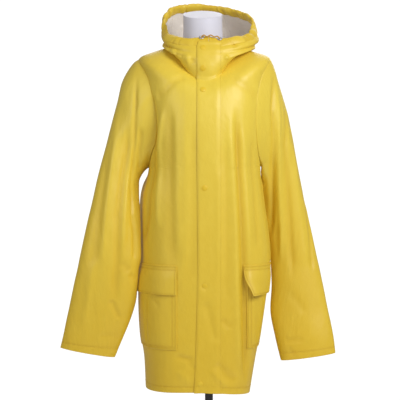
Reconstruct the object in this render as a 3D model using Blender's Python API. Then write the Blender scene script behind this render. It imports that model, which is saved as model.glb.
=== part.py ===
"""Hooded raincoat, buttoned up, on a limbless dress form with a pole and a round foot.

Sizes in the tables are millimetres; the meshes are metres. +Z is up, the coat's front faces -Y,
the wearer's right is at -X, and the origin is on the floor, under the middle of the pole.

The coat, the hood and the dress form are lofts. A loft is a short table of rings, from its first
ring to its last. A ring is a closed curve in four quarters: it has a point in front, one at the
back and one at each side, each with its own height, and superellipse arcs join them. A position
on a loft is a row, counted in rings, and a turn, an angle from the front point: -90 degrees is
the wearer's right side, +90 the left side and 180 the back. Cloth panels are patches of a loft
with a wall behind them, so two neighbours share an edge and each stops half a seam gap short.
"""

import math
from collections import namedtuple

import bmesh
import bpy
import numpy as np
from mathutils import Matrix, Vector

MM = 0.001
SHARP = math.radians(40)

# Driving sizes
CLOTH = 1.6  # one layer of coated cloth
DOUBLE_CLOTH = 2.2  # flaps and pockets, folded at their edges
SEAM = 0.3  # between two panels
ARMHOLE_GAP = 0.9  # between a sleeve and its armhole's edge
LAYER = 0.4  # between a panel and what lies on it
STEP = 0.02  # in rows and degrees, for slopes taken by difference

CLOSURE_X = -0.5  # the fronts meet here, under the storm flap
FLAP_LEFT_X = 31.0  # the storm flap's stitched edge
FLAP_FREE_EDGE = ((565, -38), (700, -33), (900, -29), (1100, -31), (1350, -32), (1440, -32))
CROWN_HALF_TURN = 32  # the hood's crown panel, either side of the back
HOOD_SIDE_COLUMNS = 14  # from the storm flap's edge to the crown's seam
CROWN_COLUMNS = 8

POCKET_BOTTOM_Z = 670
POCKET_TOP_Z = 848
POCKET_FLAP_BOTTOM_Z = 808
POCKET_FLAP_TOP_Z = 882
POCKET_X = ((565, -81), (1250, -81), (1344, -58))  # inner edge of the right pocket, and its column
PLEAT_X = ((565, 87), (700, 86), (880, 84), (1000, 80), (1100, 75), (1290, 66), (1344, 48))
PLEAT_HALF = 10  # from the pleat's valley to its ridge, and to the left pocket's inner edge
POCKET_COLUMNS = 5  # columns of the panel that a pocket spans
FLAP_STAND = 3.5  # how far a pocket flap's lower edge stands off the pocket
CORNER_LIFT = 13  # how far the left flap's inner corner is lifted
SIDE_COLUMNS = {-1: 7, 1: 6}  # columns from a pocket's inner edge to the side seam
SEAM_SHIFT = {-1: 0, 1: 22}  # degrees that a side seam swings back, up to the waist

SNAP_INSET = 17  # from the storm flap's free edge
SNAP_HEIGHTS = (1426, 1373, 1319, 1075, 831, 586)
SNAP_RADIUS = 7.2
SNAP_HEIGHT = 2.6
SNAP_CLEAR = 1.3  # more of the gap under a snap, for the flap's curve

RIM_HEIGHT = 19  # the channel round the hood's opening
RIM_DEPTH = 11
RIM_DEPTH_FRONT = 5  # where the storm flap covers it
RIM_FLAT_TURNS = (20, 45)  # degrees either side of the front over which the rim fills out
RIM_END_GAP = 0.15  # degrees from the closure to each end
RIM_GAP = 0.8  # between the hood's edge and the rim
RIM_PEAK_X = -6.0  # the gathered cloth stands taller here, behind the storm flap's top
RIM_PEAK_HALF = 24.0
RIM_PEAK_RISE = 11.0
CREASE_STAND = 1.0  # how far the storm flap stands off the neck seam, where it bridges the crease
FLAP_TOP_TURNS = (135, 90)  # degrees down the rim's front, of the storm flap's last rows
RIM_SIDES = 8
EYELETS = (("eyelet_right", -21.0), ("eyelet_left", 30.0))
EYELET_OUTER = 7.0
EYELET_INNER = 3.4
EYELET_THICK = 1.2
EYELET_TURN = 35  # degrees down the rim's front from its top
CORD_RADIUS = 1.5
CORD_SHARES = (0.12, 0.3, 0.5, 0.7, 0.88)
CORD_RISE = (0.6, 5.5, 5.5, 5.0, 5.5, 5.5, 0.6)  # off the eyelets' plane
CORD_WAVE = {0.12: 1.0, 0.3: -2.0, 0.5: 3.0, 0.7: -1.0, 0.88: 1.0}
CORD_POINTS = 16

POLE_RADIUS = 10.5
FOOT_RADIUS = 175
FOOT_THICK = 9
FOOT_COLLAR_RADIUS = 22
FOOT_COLLAR_TOP = 42

# A ring's square is its superellipse's power, and its fall how closely its front's or its back's
# own height keeps to the middle. The coat's first ring is the hem and its last the neck seam.
Ring = namedtuple(
    "Ring",
    "name x_right x_left x_front x_back y_front y_right y_left y_back"
    " z_front z_right z_left z_back square_front square_back fall_front fall_right fall_left",
)
BODY_RINGS = (
    Ring("hem", -165, 105, -30, -28, -138, 22, -22, 146, 563, 556, 548, 553, 2.9, 2.4, 2, 2, 2),
    Ring("skirt", -169, 119, -24, -24, -142, 24, -25, 149, 635, 635, 635, 635, 2.9, 2.4, 2, 2, 2),
    Ring("thigh", -179, 131, -21, -22, -145, 28, -30, 151, 700, 700, 700, 700, 2.9, 2.4, 2, 2, 2),
    Ring("pocket", -184, 142, -18, -18, -147, 34, -34, 151, 790, 790, 790, 790, 2.7, 2.4, 2, 2, 2),
    Ring("hip", -181, 155, -14, -16, -149, 34, -36, 147, 885, 885, 885, 885, 2.6, 2.4, 2, 2, 2),
    Ring("waist", -179, 148, -12, -14, -150, 30, -34, 139, 975, 975, 975, 975, 2.6, 2.4, 2, 2, 2),
    Ring("ribs", -174, 138, -11, -12, -151, 20, -22, 132, 1052, 1052, 1052, 1052, 2.6, 2.4, 2, 2, 2),
    Ring("armpit", -156, 133, -11, -12, -152, 8, -6, 126, 1123, 1123, 1128, 1123, 2.5, 2.4, 2, 2, 2),
    Ring("chest", -160, 138, -10, -12, -152, 6, 0, 121, 1190, 1206, 1210, 1205, 2.4, 2.3, 2, 2, 2),
    Ring("bust", -167, 145, -10, -12, -148, 5, 2, 117, 1250, 1292, 1296, 1290, 2.3, 2.2, 2, 2, 2),
    Ring("blades", -176, 153, -10, -12, -140, 4, 3, 111, 1292, 1364, 1367, 1356, 2.2, 2.2, 2, 2, 2),
    Ring("shoulder", -182, 158, -10, -12, -131, 2, 2, 101, 1316, 1405, 1407, 1394, 2.1, 2.1, 2, 2, 2),
    Ring("yoke", -138, 112, -10, -12, -120, -2, -2, 86, 1331, 1425, 1425, 1426, 2.1, 2.1, 2, 2, 2),
    Ring("neck", -86, 64, -10, -12, -108, -6, -6, 68, 1344, 1440, 1441, 1452, 2.1, 2.1, 2, 2, 2),
)
HOOD_RINGS = (
    Ring("neck", -86, 64, -10, -12, -108, -6, -6, 68, 1345, 1441, 1442, 1453, 2.1, 2.1, 2, 2, 2),
    Ring("out", -101, 84, -10, -12, -112, -4, -4, 97, 1362, 1442, 1442, 1446, 2.1, 2.1, 2, 3, 3),
    Ring("over", -114, 106, -10, -12, -113, 0, 0, 120, 1378, 1440, 1437, 1412, 2.1, 2.1, 2, 3.4, 3.4),
    Ring("drop", -120, 118, -10, -12, -112, 4, 4, 137, 1391, 1438, 1432, 1356, 2.2, 2.1, 1.8, 3.4, 3.4),
    Ring("bag", -119, 119, -10, -12, -110, 8, 8, 158, 1401, 1445, 1439, 1322, 2.2, 2.1, 1.5, 3.4, 3.4),
    Ring("turn", -113, 118, -10, -14, -107, 10, 10, 184, 1410, 1453, 1444, 1330, 2.2, 2.1, 1.2, 3.4, 3.4),
    Ring("rise", -120, 127, -9, -18, -104, 12, 12, 199, 1418, 1460, 1453, 1384, 2.2, 2.1, 1.0, 3, 3),
    Ring("fold", -124, 129, -8, -24, -100, 13, 13, 198, 1424, 1467, 1463, 1446, 2.2, 2.1, 0.9, 2.2, 1.8),
    Ring("lift", -124, 127, -8, -32, -97, 14, 14, 176, 1428, 1473, 1471, 1506, 2.2, 2.1, 0.8, 1.6, 1.1),
    Ring("rim", -122, 123, -8, -40, -95, 14, 14, 147, 1431, 1476, 1477, 1549, 2.2, 2.1, 0.75, 1.3, 0.7),
)
FORM_RINGS = (
    Ring("base", -92, 76, -2, -2, -72, 4, 4, 84, 664, 664, 664, 664, 2.2, 2.2, 1, 1, 1),
    Ring("seat", -128, 104, -3, -3, -96, 6, 6, 112, 690, 690, 690, 690, 2.3, 2.2, 1, 1, 1),
    Ring("hip", -140, 122, -5, -5, -102, 6, 6, 118, 800, 800, 800, 800, 2.3, 2.2, 1, 1, 1),
    Ring("waist", -114, 98, -9, -9, -88, 0, 0, 86, 1010, 1010, 1010, 1010, 2.2, 2.2, 1, 1, 1),
    Ring("under_bust", -119, 97, -11, -11, -98, -4, -4, 84, 1140, 1140, 1140, 1140, 2.2, 2.2, 1, 1, 1),
    Ring("bust", -130, 106, -12, -12, -122, -6, -6, 90, 1240, 1240, 1240, 1240, 2.3, 2.2, 1, 1, 1),
    Ring("chest", -142, 117, -13, -13, -98, -4, -4, 88, 1322, 1322, 1322, 1330, 2.2, 2.2, 1, 1, 1),
    Ring("shoulder", -160, 134, -14, -14, -62, -2, -2, 66, 1376, 1382, 1382, 1384, 2.1, 2.1, 1, 1, 1),
    Ring("slope", -128, 100, -15, -15, -48, -2, -2, 54, 1398, 1406, 1406, 1410, 2.0, 2.0, 1, 1, 1),
    Ring("neck_base", -74, 44, -16, -16, -52, -4, -4, 46, 1424, 1428, 1428, 1436, 2.0, 2.0, 1, 1, 1),
    Ring("neck", -67, 35, -16, -16, -56, -8, -8, 40, 1462, 1470, 1470, 1476, 2.0, 2.0, 1, 1, 1),
    Ring("neck_top", -67, 34, -17, -17, -60, -12, -12, 36, 1502, 1518, 1518, 1534, 2.0, 2.0, 1, 1, 1),
)
RING_NUMBERS = Ring._fields[1:]

# A sleeve's rings run from the armhole to the cuff. Each has an outer and an inner point.
Cut = namedtuple("Cut", "x_outer z_outer x_inner z_inner y_middle front back")
SLEEVE_RIGHT = (
    Cut(-182, 1405, -156, 1124, 4, 70, 70),
    Cut(-196, 1395, -161, 1121, 2, 68, 66),
    Cut(-212, 1371, -167, 1115, -2, 66, 62),
    Cut(-226, 1340, -173, 1106, -7, 62, 58),
    Cut(-236, 1298, -179, 1094, -13, 58, 54),
    Cut(-248, 1250, -183, 1079, -21, 54, 50),
    Cut(-262, 1192, -186, 1062, -30, 50, 46),
    Cut(-276, 1134, -185, 1036, -39, 46, 42),
    Cut(-296, 1052, -182, 1000, -49, 42, 38),
    Cut(-316, 966, -180, 946, -57, 38, 35),
    Cut(-333, 884, -179, 882, -61, 35, 32),
    Cut(-348, 816, -183, 818, -60, 32, 30),
    Cut(-359, 766, -190, 772, -57, 30, 28),
    Cut(-371, 715, -210, 714, -54, 27, 26),
    Cut(-383, 663, -242, 638, -50, 24, 24),
)
SLEEVE_LEFT = (
    Cut(158, 1407, 134, 1129, 2, 68, 68),
    Cut(164, 1396, 137, 1126, 3, 66, 66),
    Cut(171, 1379, 139, 1120, 5, 64, 62),
    Cut(180, 1349, 140, 1110, 8, 60, 58),
    Cut(192, 1310, 141, 1096, 13, 56, 54),
    Cut(206, 1261, 142, 1077, 18, 52, 51),
    Cut(219, 1206, 144, 1052, 23, 48, 48),
    Cut(232, 1144, 148, 1020, 28, 44, 45),
    Cut(247, 1070, 151, 980, 31, 40, 42),
    Cut(263, 985, 155, 932, 32, 37, 38),
    Cut(281, 903, 162, 880, 30, 34, 35),
    Cut(298, 822, 165, 816, 23, 31, 32),
    Cut(312, 750, 161, 745, 14, 28, 29),
    Cut(324, 690, 173, 682, 5, 26, 26),
    Cut(330, 641, 187, 621, 0, 24, 24),
)
ARMHOLE_STEPS = 9  # points on each half of an armhole's edge
ARMHOLE_LENGTH = 282  # from the armpit to the shoulder, over the coat
ARMHOLE_REACH = 2.3  # millimetres round the coat for each degree of turn
ARMHOLE_LOW = 0.42  # how soon an armhole opens above the armpit and closes at the shoulder:
ARMHOLE_HIGH = 0.58  # its width goes as share**low * (1 - share)**high
ARMHOLE_OPEN_FRONT = 37  # degrees that an armhole opens to the front of the side, and behind it
ARMHOLE_OPEN_BACK = 33
ARMHOLE_HOLD = 6  # rings over which a sleeve leaves the armhole's shape

# Folds: facing, half width, height (below 0 for a valley) and the path, as seen from that side.
# A path's points are (across, z): across is x for the front and back, and y for the sides.
Fold = namedtuple("Fold", "facing half_width height path")
BODY_FOLDS = (
    Fold("front", 11, -11,
         ((66, 1300), (70, 1210), (75, 1100), (80, 1000), (84, 880), (86, 700), (87, 560))),
    Fold("front", 14, 5,
         ((50, 1280), (55, 1180), (61, 1080), (66, 980), (70, 860), (72, 700), (73, 570))),
    Fold("front", 14, 7, ((-108, 1292), (-113, 1240), (-119, 1170), (-122, 1080), (-122, 960))),
    Fold("front", 13, -4, ((-92, 1270), (-94, 1160), (-93, 1050), (-91, 930), (-90, 850))),
    Fold("front", 12, -9, ((-134, 1200), (-132, 1140), (-141, 1070), (-150, 1010), (-163, 930))),
    Fold("front", 14, -7, ((-132, 1290), (-126, 1240), (-124, 1190))),
    Fold("front", 10, -4, ((108, 1200), (114, 1080), (120, 980), (124, 900))),
    Fold("back", 20, -9, ((-92, 1240), (-96, 1050), (-104, 850), (-108, 640), (-110, 540))),
    Fold("back", 22, -7, ((66, 1220), (72, 1000), (80, 800), (82, 640), (80, 540))),
    Fold("back", 20, 6, ((-48, 1200), (-50, 950), (-56, 700), (-58, 540))),
    Fold("back", 18, 5, ((28, 1180), (32, 900), (36, 650), (36, 540))),
)
SLEEVE_RIGHT_FOLDS = (
    Fold("front", 10, -7,
         ((-206, 1230), (-210, 1150), (-224, 1060), (-232, 980), (-236, 880), (-240, 770))),
    Fold("front", 8, 5, ((-194, 1200), (-199, 1120), (-212, 1040), (-219, 960), (-222, 880))),
    Fold("front", 7, -4, ((-188, 1340), (-190, 1250), (-196, 1130), (-198, 1030), (-202, 950))),
    Fold("back", 12, -6, ((-214, 1300), (-222, 1160), (-238, 1000), (-262, 820))),
    Fold("back", 12, 4, ((-236, 1240), (-250, 1080), (-280, 900))),
)
SLEEVE_LEFT_FOLDS = (
    Fold("front", 9, -6, ((161, 1380), (163, 1270), (165, 1120), (163, 1010), (161, 930))),
    Fold("front", 8, 4, ((174, 1330), (178, 1200), (182, 1080), (188, 960))),
    Fold("front", 10, -4, ((184, 1330), (192, 1180), (204, 1040), (212, 930), (216, 800))),
    Fold("back", 12, -6, ((176, 1290), (186, 1150), (206, 980), (226, 800))),
    Fold("back", 12, 4, ((200, 1220), (214, 1060), (240, 880))),
)
HOOD_FOLDS = (
    Fold("front", 5, -4, ((-37, 1436), (-36, 1400), (-34, 1370), (-34, 1350))),
    Fold("front", 6, -3, ((-58, 1436), (-56, 1400), (-50, 1370))),
    Fold("front", 6, -3, ((44, 1440), (42, 1410), (40, 1375))),
    Fold("back", 16, -7, ((-60, 1500), (-64, 1420), (-46, 1350))),
    Fold("back", 16, -6, ((36, 1500), (44, 1420), (30, 1350))),
)
FOLD_FADE = 0.16  # share of a fold's length over which each end fades out

# Heights of the body's rows between the hem and the armpit
LOW_HEIGHTS = (600, 635, POCKET_BOTTOM_Z, 710, 758, POCKET_FLAP_BOTTOM_Z, POCKET_TOP_Z,
               POCKET_FLAP_TOP_Z, 925, 975, 1025, 1075)

SHOULDER_ROWS = (0.6, 1.3)  # the body's rows between the shoulder and the neck, in rings
BACK_COLUMNS = 18

# Sides of the round pieces
SNAP_SIDES = 12
EYELET_SIDES = 16
POLE_SIDES = 20
FOOT_SIDES = 40
FORM_SIDES = 24

# Finishes: colour, roughness, metallic
YELLOW_CLOTH = ("yellow_cloth", (0.78, 0.60, 0.07), 0.42, 0.0)
YELLOW_SNAP = ("yellow_snap", (0.80, 0.62, 0.10), 0.30, 0.0)
SILVER = ("silver", (0.75, 0.75, 0.76), 0.25, 1.0)
CORD_YELLOW = ("cord_yellow", (0.80, 0.50, 0.06), 0.8, 0.0)
WHITE_FORM = ("white_form", (0.80, 0.80, 0.84), 0.5, 0.0)
BLACK_METAL = ("black_metal", (0.02, 0.02, 0.02), 0.35, 0.0)


def clear_scene():
    for thing in list(bpy.data.objects):
        bpy.data.objects.remove(thing, do_unlink=True)


def material(finish):
    name, colour, roughness, metallic = finish
    made = bpy.data.materials.get(name) or bpy.data.materials.new(name)
    made.use_nodes = True
    shader = made.node_tree.nodes["Principled BSDF"]
    shader.inputs["Base Color"].default_value = (*colour, 1.0)
    shader.inputs["Roughness"].default_value = roughness
    shader.inputs["Metallic"].default_value = metallic
    return made


def eased(share):
    """0 to 1, level at both ends."""
    share = np.clip(share, 0.0, 1.0)
    return share * share * (3 - 2 * share)


def curve_through(rows, at):
    """Rows of numbers read at fractional places, on a smooth curve that passes through each row."""
    rows = np.asarray(rows, float)
    at = np.clip(np.asarray(at, float), 0, len(rows) - 1)
    first = np.minimum(at.astype(int), len(rows) - 2)
    share = (at - first)[..., None]
    before = rows[np.maximum(first - 1, 0)]
    start = rows[first]
    end = rows[first + 1]
    after = rows[np.minimum(first + 2, len(rows) - 1)]
    slope_in = (end - before) / 2
    slope_out = (after - start) / 2
    square, cube = share**2, share**3
    return (
        (2 * cube - 3 * square + 1) * start
        + (cube - 2 * square + share) * slope_in
        + (3 * square - 2 * cube) * end
        + (cube - square) * slope_out
    )


class Surface:
    """Points and outward normals over rows and turns, with folds laid on a smooth form."""

    def __init__(self, folds, row_end, turns):
        self.paths = []
        for fold in folds:
            self.paths.append((fold, self.trace(fold, row_end, turns)))

    def trace(self, fold, row_end, turns):
        """The points of the smooth form that a fold's path passes, seen from its side."""
        rows, angles = np.meshgrid(np.linspace(0, row_end, 260), turns, indexing="ij")
        points = self.smooth(rows, angles)
        normals = self.normals(self.smooth, rows, angles)
        axis = 0 if fold.facing in ("front", "back") else 1
        look = {"front": (1, -1), "back": (1, 1), "right": (0, -1), "left": (0, 1)}[fold.facing]
        hidden = normals[..., look[0]] * look[1] < 0.05
        found = []
        for across, height in fold.path:
            far = np.hypot(points[..., axis] - across, points[..., 2] - height) + 1e4 * hidden
            found.append(points[np.unravel_index(np.argmin(far), far.shape)])
        return np.array(found)

    def normals(self, shape, rows, angles):
        along = shape(rows + STEP, angles) - shape(rows - STEP, angles)
        round_ = shape(rows, angles + STEP * 10) - shape(rows, angles - STEP * 10)
        cross = np.cross(round_, along)
        return cross / np.maximum(np.linalg.norm(cross, axis=-1, keepdims=True), 1e-9)

    def folded(self, rows, angles):
        points = self.smooth(rows, angles)
        if not self.paths:
            return points
        normals = self.normals(self.smooth, rows, angles)
        height = np.zeros(points.shape[:-1])
        for fold, path in self.paths:
            height = height + fold_height(points, fold, path)
        return points + normals * height[..., None]

    def patch(self, rows, angles):
        return self.folded(rows, angles), self.normals(self.folded, rows, angles)


def fold_height(points, fold, path):
    """How far a fold lifts each point: most on its path, fading across it and at its ends."""
    lengths = np.linalg.norm(np.diff(path, axis=0), axis=1)
    starts = np.concatenate([[0], np.cumsum(lengths)[:-1]])
    nearest = np.full(points.shape[:-1], 1e9)
    place = np.zeros(points.shape[:-1])
    for start, end, length, begun in zip(path[:-1], path[1:], lengths, starts):
        along = np.clip(((points - start) @ (end - start)) / length**2, 0, 1)
        far = np.linalg.norm(points - (start + along[..., None] * (end - start)), axis=-1)
        place = np.where(far < nearest, (begun + along * length) / lengths.sum(), place)
        nearest = np.minimum(far, nearest)
    fade = eased(place / FOLD_FADE)
    if fold.path[-1][1] > BODY_RINGS[0].z_back:
        fade = fade * eased((1 - place) / FOLD_FADE)
    return fold.height * fade * np.exp(-((nearest / fold.half_width) ** 2))


class Loft(Surface):
    """A table of rings."""

    def __init__(self, rings, folds=()):
        self.rings = rings
        self.table = np.array([ring[1:] for ring in rings], float)
        super().__init__(folds, len(rings) - 1, np.linspace(-180, 180, 181))

    def columns(self, rows):
        return dict(zip(RING_NUMBERS, np.moveaxis(curve_through(self.table, rows), -1, 0)))

    def smooth(self, rows, angles):
        ring = self.columns(rows)
        turn = np.radians(angles)
        sine, cosine = np.sin(turn), np.cos(turn)
        in_front, on_left = cosine > 0, sine > 0
        x_side = np.where(on_left, ring["x_left"], ring["x_right"])
        y_side = np.where(on_left, ring["y_left"], ring["y_right"])
        z_side = np.where(on_left, ring["z_left"], ring["z_right"])
        x_end = np.where(in_front, ring["x_front"], ring["x_back"])
        y_end = np.where(in_front, ring["y_front"], ring["y_back"])
        z_end = np.where(in_front, ring["z_front"], ring["z_back"])
        power = np.where(in_front, ring["square_front"], ring["square_back"])
        wide, deep = np.abs(x_side - x_end), np.abs(y_end - y_side)
        reach = ((np.abs(sine) / wide) ** power + (np.abs(cosine) / deep) ** power) ** (-1 / power)
        fall_back = np.where(on_left, ring["fall_left"], ring["fall_right"])
        fall = np.abs(cosine) ** np.where(in_front, ring["fall_front"], fall_back)
        x = x_end + reach * sine
        y = y_side - reach * cosine
        return np.stack([x, y, z_side + (z_end - z_side) * fall], axis=-1)

    def row_named(self, name):
        return float([ring.name for ring in self.rings].index(name))

    def row_at(self, height):
        """The row whose front point is at a height."""
        rows = np.linspace(0, len(self.rings) - 1, 2000)
        return float(np.interp(height, self.columns(rows)["z_front"], rows))

    def turn_at(self, row, x):
        """The turn at which the front of a row is at x."""
        ring = {name: float(value) for name, value in self.columns(row).items()}
        side = "left" if x > ring["x_front"] else "right"
        wide = abs(ring["x_" + side] - ring["x_front"])
        deep = abs(ring["y_front"] - ring["y_" + side])
        across = min(abs(x - ring["x_front"]), wide)
        power = ring["square_front"]
        ahead = deep * (1 - (across / wide) ** power) ** (1 / power)
        return math.degrees(math.atan2(across, ahead)) * (1 if side == "left" else -1)

    def front_height(self, row):
        return float(self.columns(row)["z_front"])


class Sleeve(Surface):
    """A tube whose first ring is the armhole's edge; rows are its rings, turns go front first."""

    def __init__(self, cuts, folds, coat, side):
        self.cuts = np.array(cuts, float)
        self.coat = coat
        self.side = side
        super().__init__(folds, len(cuts) - 1, np.linspace(0, 360, 91))

    def smooth(self, rows, angles):
        x_outer, z_outer, x_inner, z_inner, y_middle, front, back = np.moveaxis(
            curve_through(self.cuts, rows), -1, 0
        )
        turn = np.radians(angles)
        out = np.cos(turn)
        depth = np.where(np.sin(turn) > 0, front, back)
        x = (x_outer + x_inner) / 2 + (x_outer - x_inner) / 2 * out
        z = (z_outer + z_inner) / 2 + (z_outer - z_inner) / 2 * out
        oval = np.stack([x, y_middle - depth * np.sin(turn), z], axis=-1)
        first = self.first_oval(turn)
        hold = (1 - eased(rows / ARMHOLE_HOLD))[..., None]
        return oval + (armhole_points(self.coat, self.side, angles, inset=ARMHOLE_GAP) - first) * hold

    def first_oval(self, turn):
        cut = Cut(*self.cuts[0])
        out = np.cos(turn)
        depth = np.where(np.sin(turn) > 0, cut.front, cut.back)
        x = (cut.x_outer + cut.x_inner) / 2 + (cut.x_outer - cut.x_inner) / 2 * out
        z = (cut.z_outer + cut.z_inner) / 2 + (cut.z_outer - cut.z_inner) / 2 * out
        return np.stack([x, cut.y_middle - depth * np.sin(turn), z], axis=-1)

    def normals(self, shape, rows, angles):
        return super().normals(shape, rows, angles) * self.side


def armhole_share(angles):
    """How far up its armhole a turn of the sleeve is, from 0 at the armpit to 1 at the shoulder."""
    return (1 + np.cos(np.radians(angles))) / 2


def armhole_open(share):
    """How wide an armhole is at a share of its height, as a part of its widest."""
    low, high = ARMHOLE_LOW, ARMHOLE_HIGH
    widest = (low / (low + high)) ** low * (high / (low + high)) ** high
    share = np.clip(share, 0, 1)
    return share**low * (1 - share) ** high / widest


def armhole_place(coat, side, angles, inset):
    """Rows and turns of the armhole's edge on the coat; inset moves the edge into the opening."""
    share = armhole_share(angles)
    low, high = coat.row_named("armpit"), coat.row_named("shoulder")
    ahead = np.sin(np.radians(angles)) >= 0
    opening = np.where(ahead, ARMHOLE_OPEN_FRONT, ARMHOLE_OPEN_BACK) * armhole_open(share)
    opening = np.maximum(opening - inset / ARMHOLE_REACH, 0) * np.where(ahead, 1, -1)
    rows = low + share * (high - low) - inset * (high - low) / ARMHOLE_LENGTH * (2 * share - 1)
    return rows, side * (90 - opening)


def armhole_points(coat, side, angles, inset):
    rows, turns = armhole_place(coat, side, angles, inset)
    return coat.folded(rows, turns)


def read(table, height):
    """x at a height, from a short table of heights and places."""
    heights, places = zip(*table)
    return float(np.interp(height, heights, places))


def flap_edge(height):
    """x of the storm flap's free edge at a height."""
    return read(FLAP_FREE_EDGE, height)


def body_rows(coat):
    """Rows from the hem to the neck: through the pockets' edges and the armholes' points."""
    low = [0.0] + [coat.row_at(height) for height in LOW_HEIGHTS]
    angles = np.linspace(180, 0, ARMHOLE_STEPS + 1)
    armhole = coat.row_named("armpit") + armhole_share(angles) * (
        coat.row_named("shoulder") - coat.row_named("armpit")
    )
    last = coat.row_named("neck")
    shoulder = coat.row_named("shoulder")
    return np.array(low + list(armhole) + [shoulder + step for step in SHOULDER_ROWS] + [last])


def side_turn(coat, row, side, ahead):
    """The turn at which a panel ends in a row: the side or shoulder seam, or the armhole."""
    low, high = coat.row_named("armpit"), coat.row_named("shoulder")
    share = (row - low) / (high - low)
    opening = 0.0
    if 0 < share < 1:
        widest = ARMHOLE_OPEN_FRONT if ahead else ARMHOLE_OPEN_BACK
        opening = widest * float(armhole_open(share))
    shift = SEAM_SHIFT[side] * float(eased((low - row) / (low - coat.row_named("waist"))))
    return side * (90 + shift - opening if ahead else 90 + shift + opening)


def trimmed(coat, row, turn, toward, gap=SEAM / 2):
    """A turn moved by a gap along its row."""
    here, there = coat.smooth(np.array([row, row]), np.array([turn, turn + toward]))
    return turn + toward * gap / max(float(np.linalg.norm(there - here)), 1e-6)


def front_turns(coat, rows, side):
    """Turns of a front panel's columns: closure, storm flap's edge, pocket's edge, side."""
    table = []
    for row in rows:
        height = coat.front_height(row)
        turns = [coat.turn_at(row, x) for x in column_stations(side, height)]
        end = side_turn(coat, row, side, ahead=True)
        turns += list(np.linspace(turns[-1], end, SIDE_COLUMNS[side] + 1)[1:])
        table.append(seamed(coat, row, np.array(turns)))
    return np.array(table)


def column_stations(side, height):
    """x of a front panel's columns from the closure to the pocket's inner edge."""
    edge = flap_edge(height) if side < 0 else FLAP_LEFT_X
    near = [CLOSURE_X, (CLOSURE_X + edge) / 2, edge]
    if side < 0:
        pocket = read(POCKET_X, height)
        return near + [edge + (pocket - edge) * share for share in (1 / 3, 2 / 3, 1.0)]
    pleat = read(PLEAT_X, height)
    ridge = pleat - PLEAT_HALF
    middle = [edge + (ridge - edge) * share for share in (0.5, 1.0)]
    return near + middle + [pleat, pleat + PLEAT_HALF]


def hood_turns(hood, row, side):
    """Turns of a hood side's columns: closure, storm flap's edge, then on to the crown's seam."""
    stations = column_stations(side, hood.front_height(row))[:3]
    turns = [hood.turn_at(row, x) for x in stations]
    end = side * (180 - CROWN_HALF_TURN)
    return np.array(turns + list(np.linspace(turns[-1], end, HOOD_SIDE_COLUMNS + 1)[1:]))


def crown_turns():
    seam = 180 - CROWN_HALF_TURN
    return np.linspace(seam, 360 - seam, CROWN_COLUMNS + 1)


def seamed(surface, row, turns):
    """A row's turns with both ends drawn back from the seams there."""
    turns = turns.copy()
    toward = np.sign(turns[-1] - turns[0])
    turns[0] = trimmed(surface, row, turns[0], toward)
    turns[-1] = trimmed(surface, row, turns[-1], -toward)
    return turns


def first_pocket_column(side):
    return len(column_stations(side, POCKET_TOP_Z)) - 1


def back_turns(coat, rows, count):
    table = []
    for row in rows:
        right = side_turn(coat, row, -1, ahead=False) + 360
        left = side_turn(coat, row, 1, ahead=False)
        table.append(seamed(coat, row, np.linspace(left, right, count)))
    return np.array(table)


def grid_triangles(rows, columns, closed, origin=(0, 0)):
    """Corners of the triangles of a grid of points; origin is its place in a larger grid."""
    faces = []
    for row in range(rows - 1):
        for column in range(columns if closed else columns - 1):
            here = row * columns + column
            beside = row * columns + (column + 1) % columns
            above, above_beside = here + columns, beside + columns
            if (row + column + sum(origin)) % 2:
                faces += [(here, beside, above_beside), (here, above_beside, above)]
            else:
                faces += [(here, beside, above), (beside, above_beside, above)]
    return faces


def border(rows, columns, closed):
    """Closed loops of point numbers round a grid's free edges."""
    if closed:
        last = (rows - 1) * columns
        return [list(range(columns)), list(range(last + columns - 1, last - 1, -1))]
    bottom = list(range(columns))
    right = [row * columns + columns - 1 for row in range(1, rows)]
    top = [(rows - 1) * columns + column for column in range(columns - 2, -1, -1)]
    left = [row * columns for row in range(rows - 2, 0, -1)]
    return [bottom + right + top + left]


def solid(name, points, faces, finish):
    """One closed object, its faces turned outwards, from points in millimetres."""
    mesh = bpy.data.meshes.new(name)
    mesh.from_pydata([tuple(point * MM) for point in points], [], faces)
    turn_outwards(mesh)
    made = bpy.data.objects.new(name, mesh)
    mesh.materials.append(material(finish))
    mesh.shade_smooth()
    mesh.set_sharp_from_angle(angle=SHARP)
    bpy.context.scene.collection.objects.link(made)
    return made


def turn_outwards(mesh):
    shape = bmesh.new()
    shape.from_mesh(mesh)
    bmesh.ops.recalc_face_normals(shape, faces=shape.faces)
    if shape.calc_volume(signed=True) < 0:
        bmesh.ops.reverse_faces(shape, faces=shape.faces)
    shape.to_mesh(mesh)
    shape.free()


def wall(name, face, back, finish, closed=False, origin=(0, 0)):
    """A cloth wall between two grids of points, its face and its back."""
    rows, columns = face.shape[:2]
    count = rows * columns
    front = grid_triangles(rows, columns, closed, origin)
    faces = list(front)
    faces += [(a + count, c + count, b + count) for a, b, c in front]
    for loop in border(rows, columns, closed):
        for here, there in zip(loop, loop[1:] + loop[:1]):
            faces += [(there, here, here + count), (there, here + count, there + count)]
    points = np.concatenate([face.reshape(-1, 3), back.reshape(-1, 3)])
    return solid(name, points, faces, finish)


def panel(name, surface, rows, turns, finish=YELLOW_CLOTH):
    points, normals = surface.patch(rows, turns)
    return wall(name, points, points - normals * CLOTH, finish)


def make_fronts(coat):
    rows = body_rows(coat)
    for name, side in (("front_right", -1), ("front_left", 1)):
        turns = front_turns(coat, rows, side)
        grid = np.broadcast_to(rows[:, None], turns.shape)
        panel(name, coat, grid, turns)


def make_back(coat):
    rows = body_rows(coat)
    turns = back_turns(coat, rows, BACK_COLUMNS + 1)
    panel("back", coat, np.broadcast_to(rows[:, None], turns.shape), turns)


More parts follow.
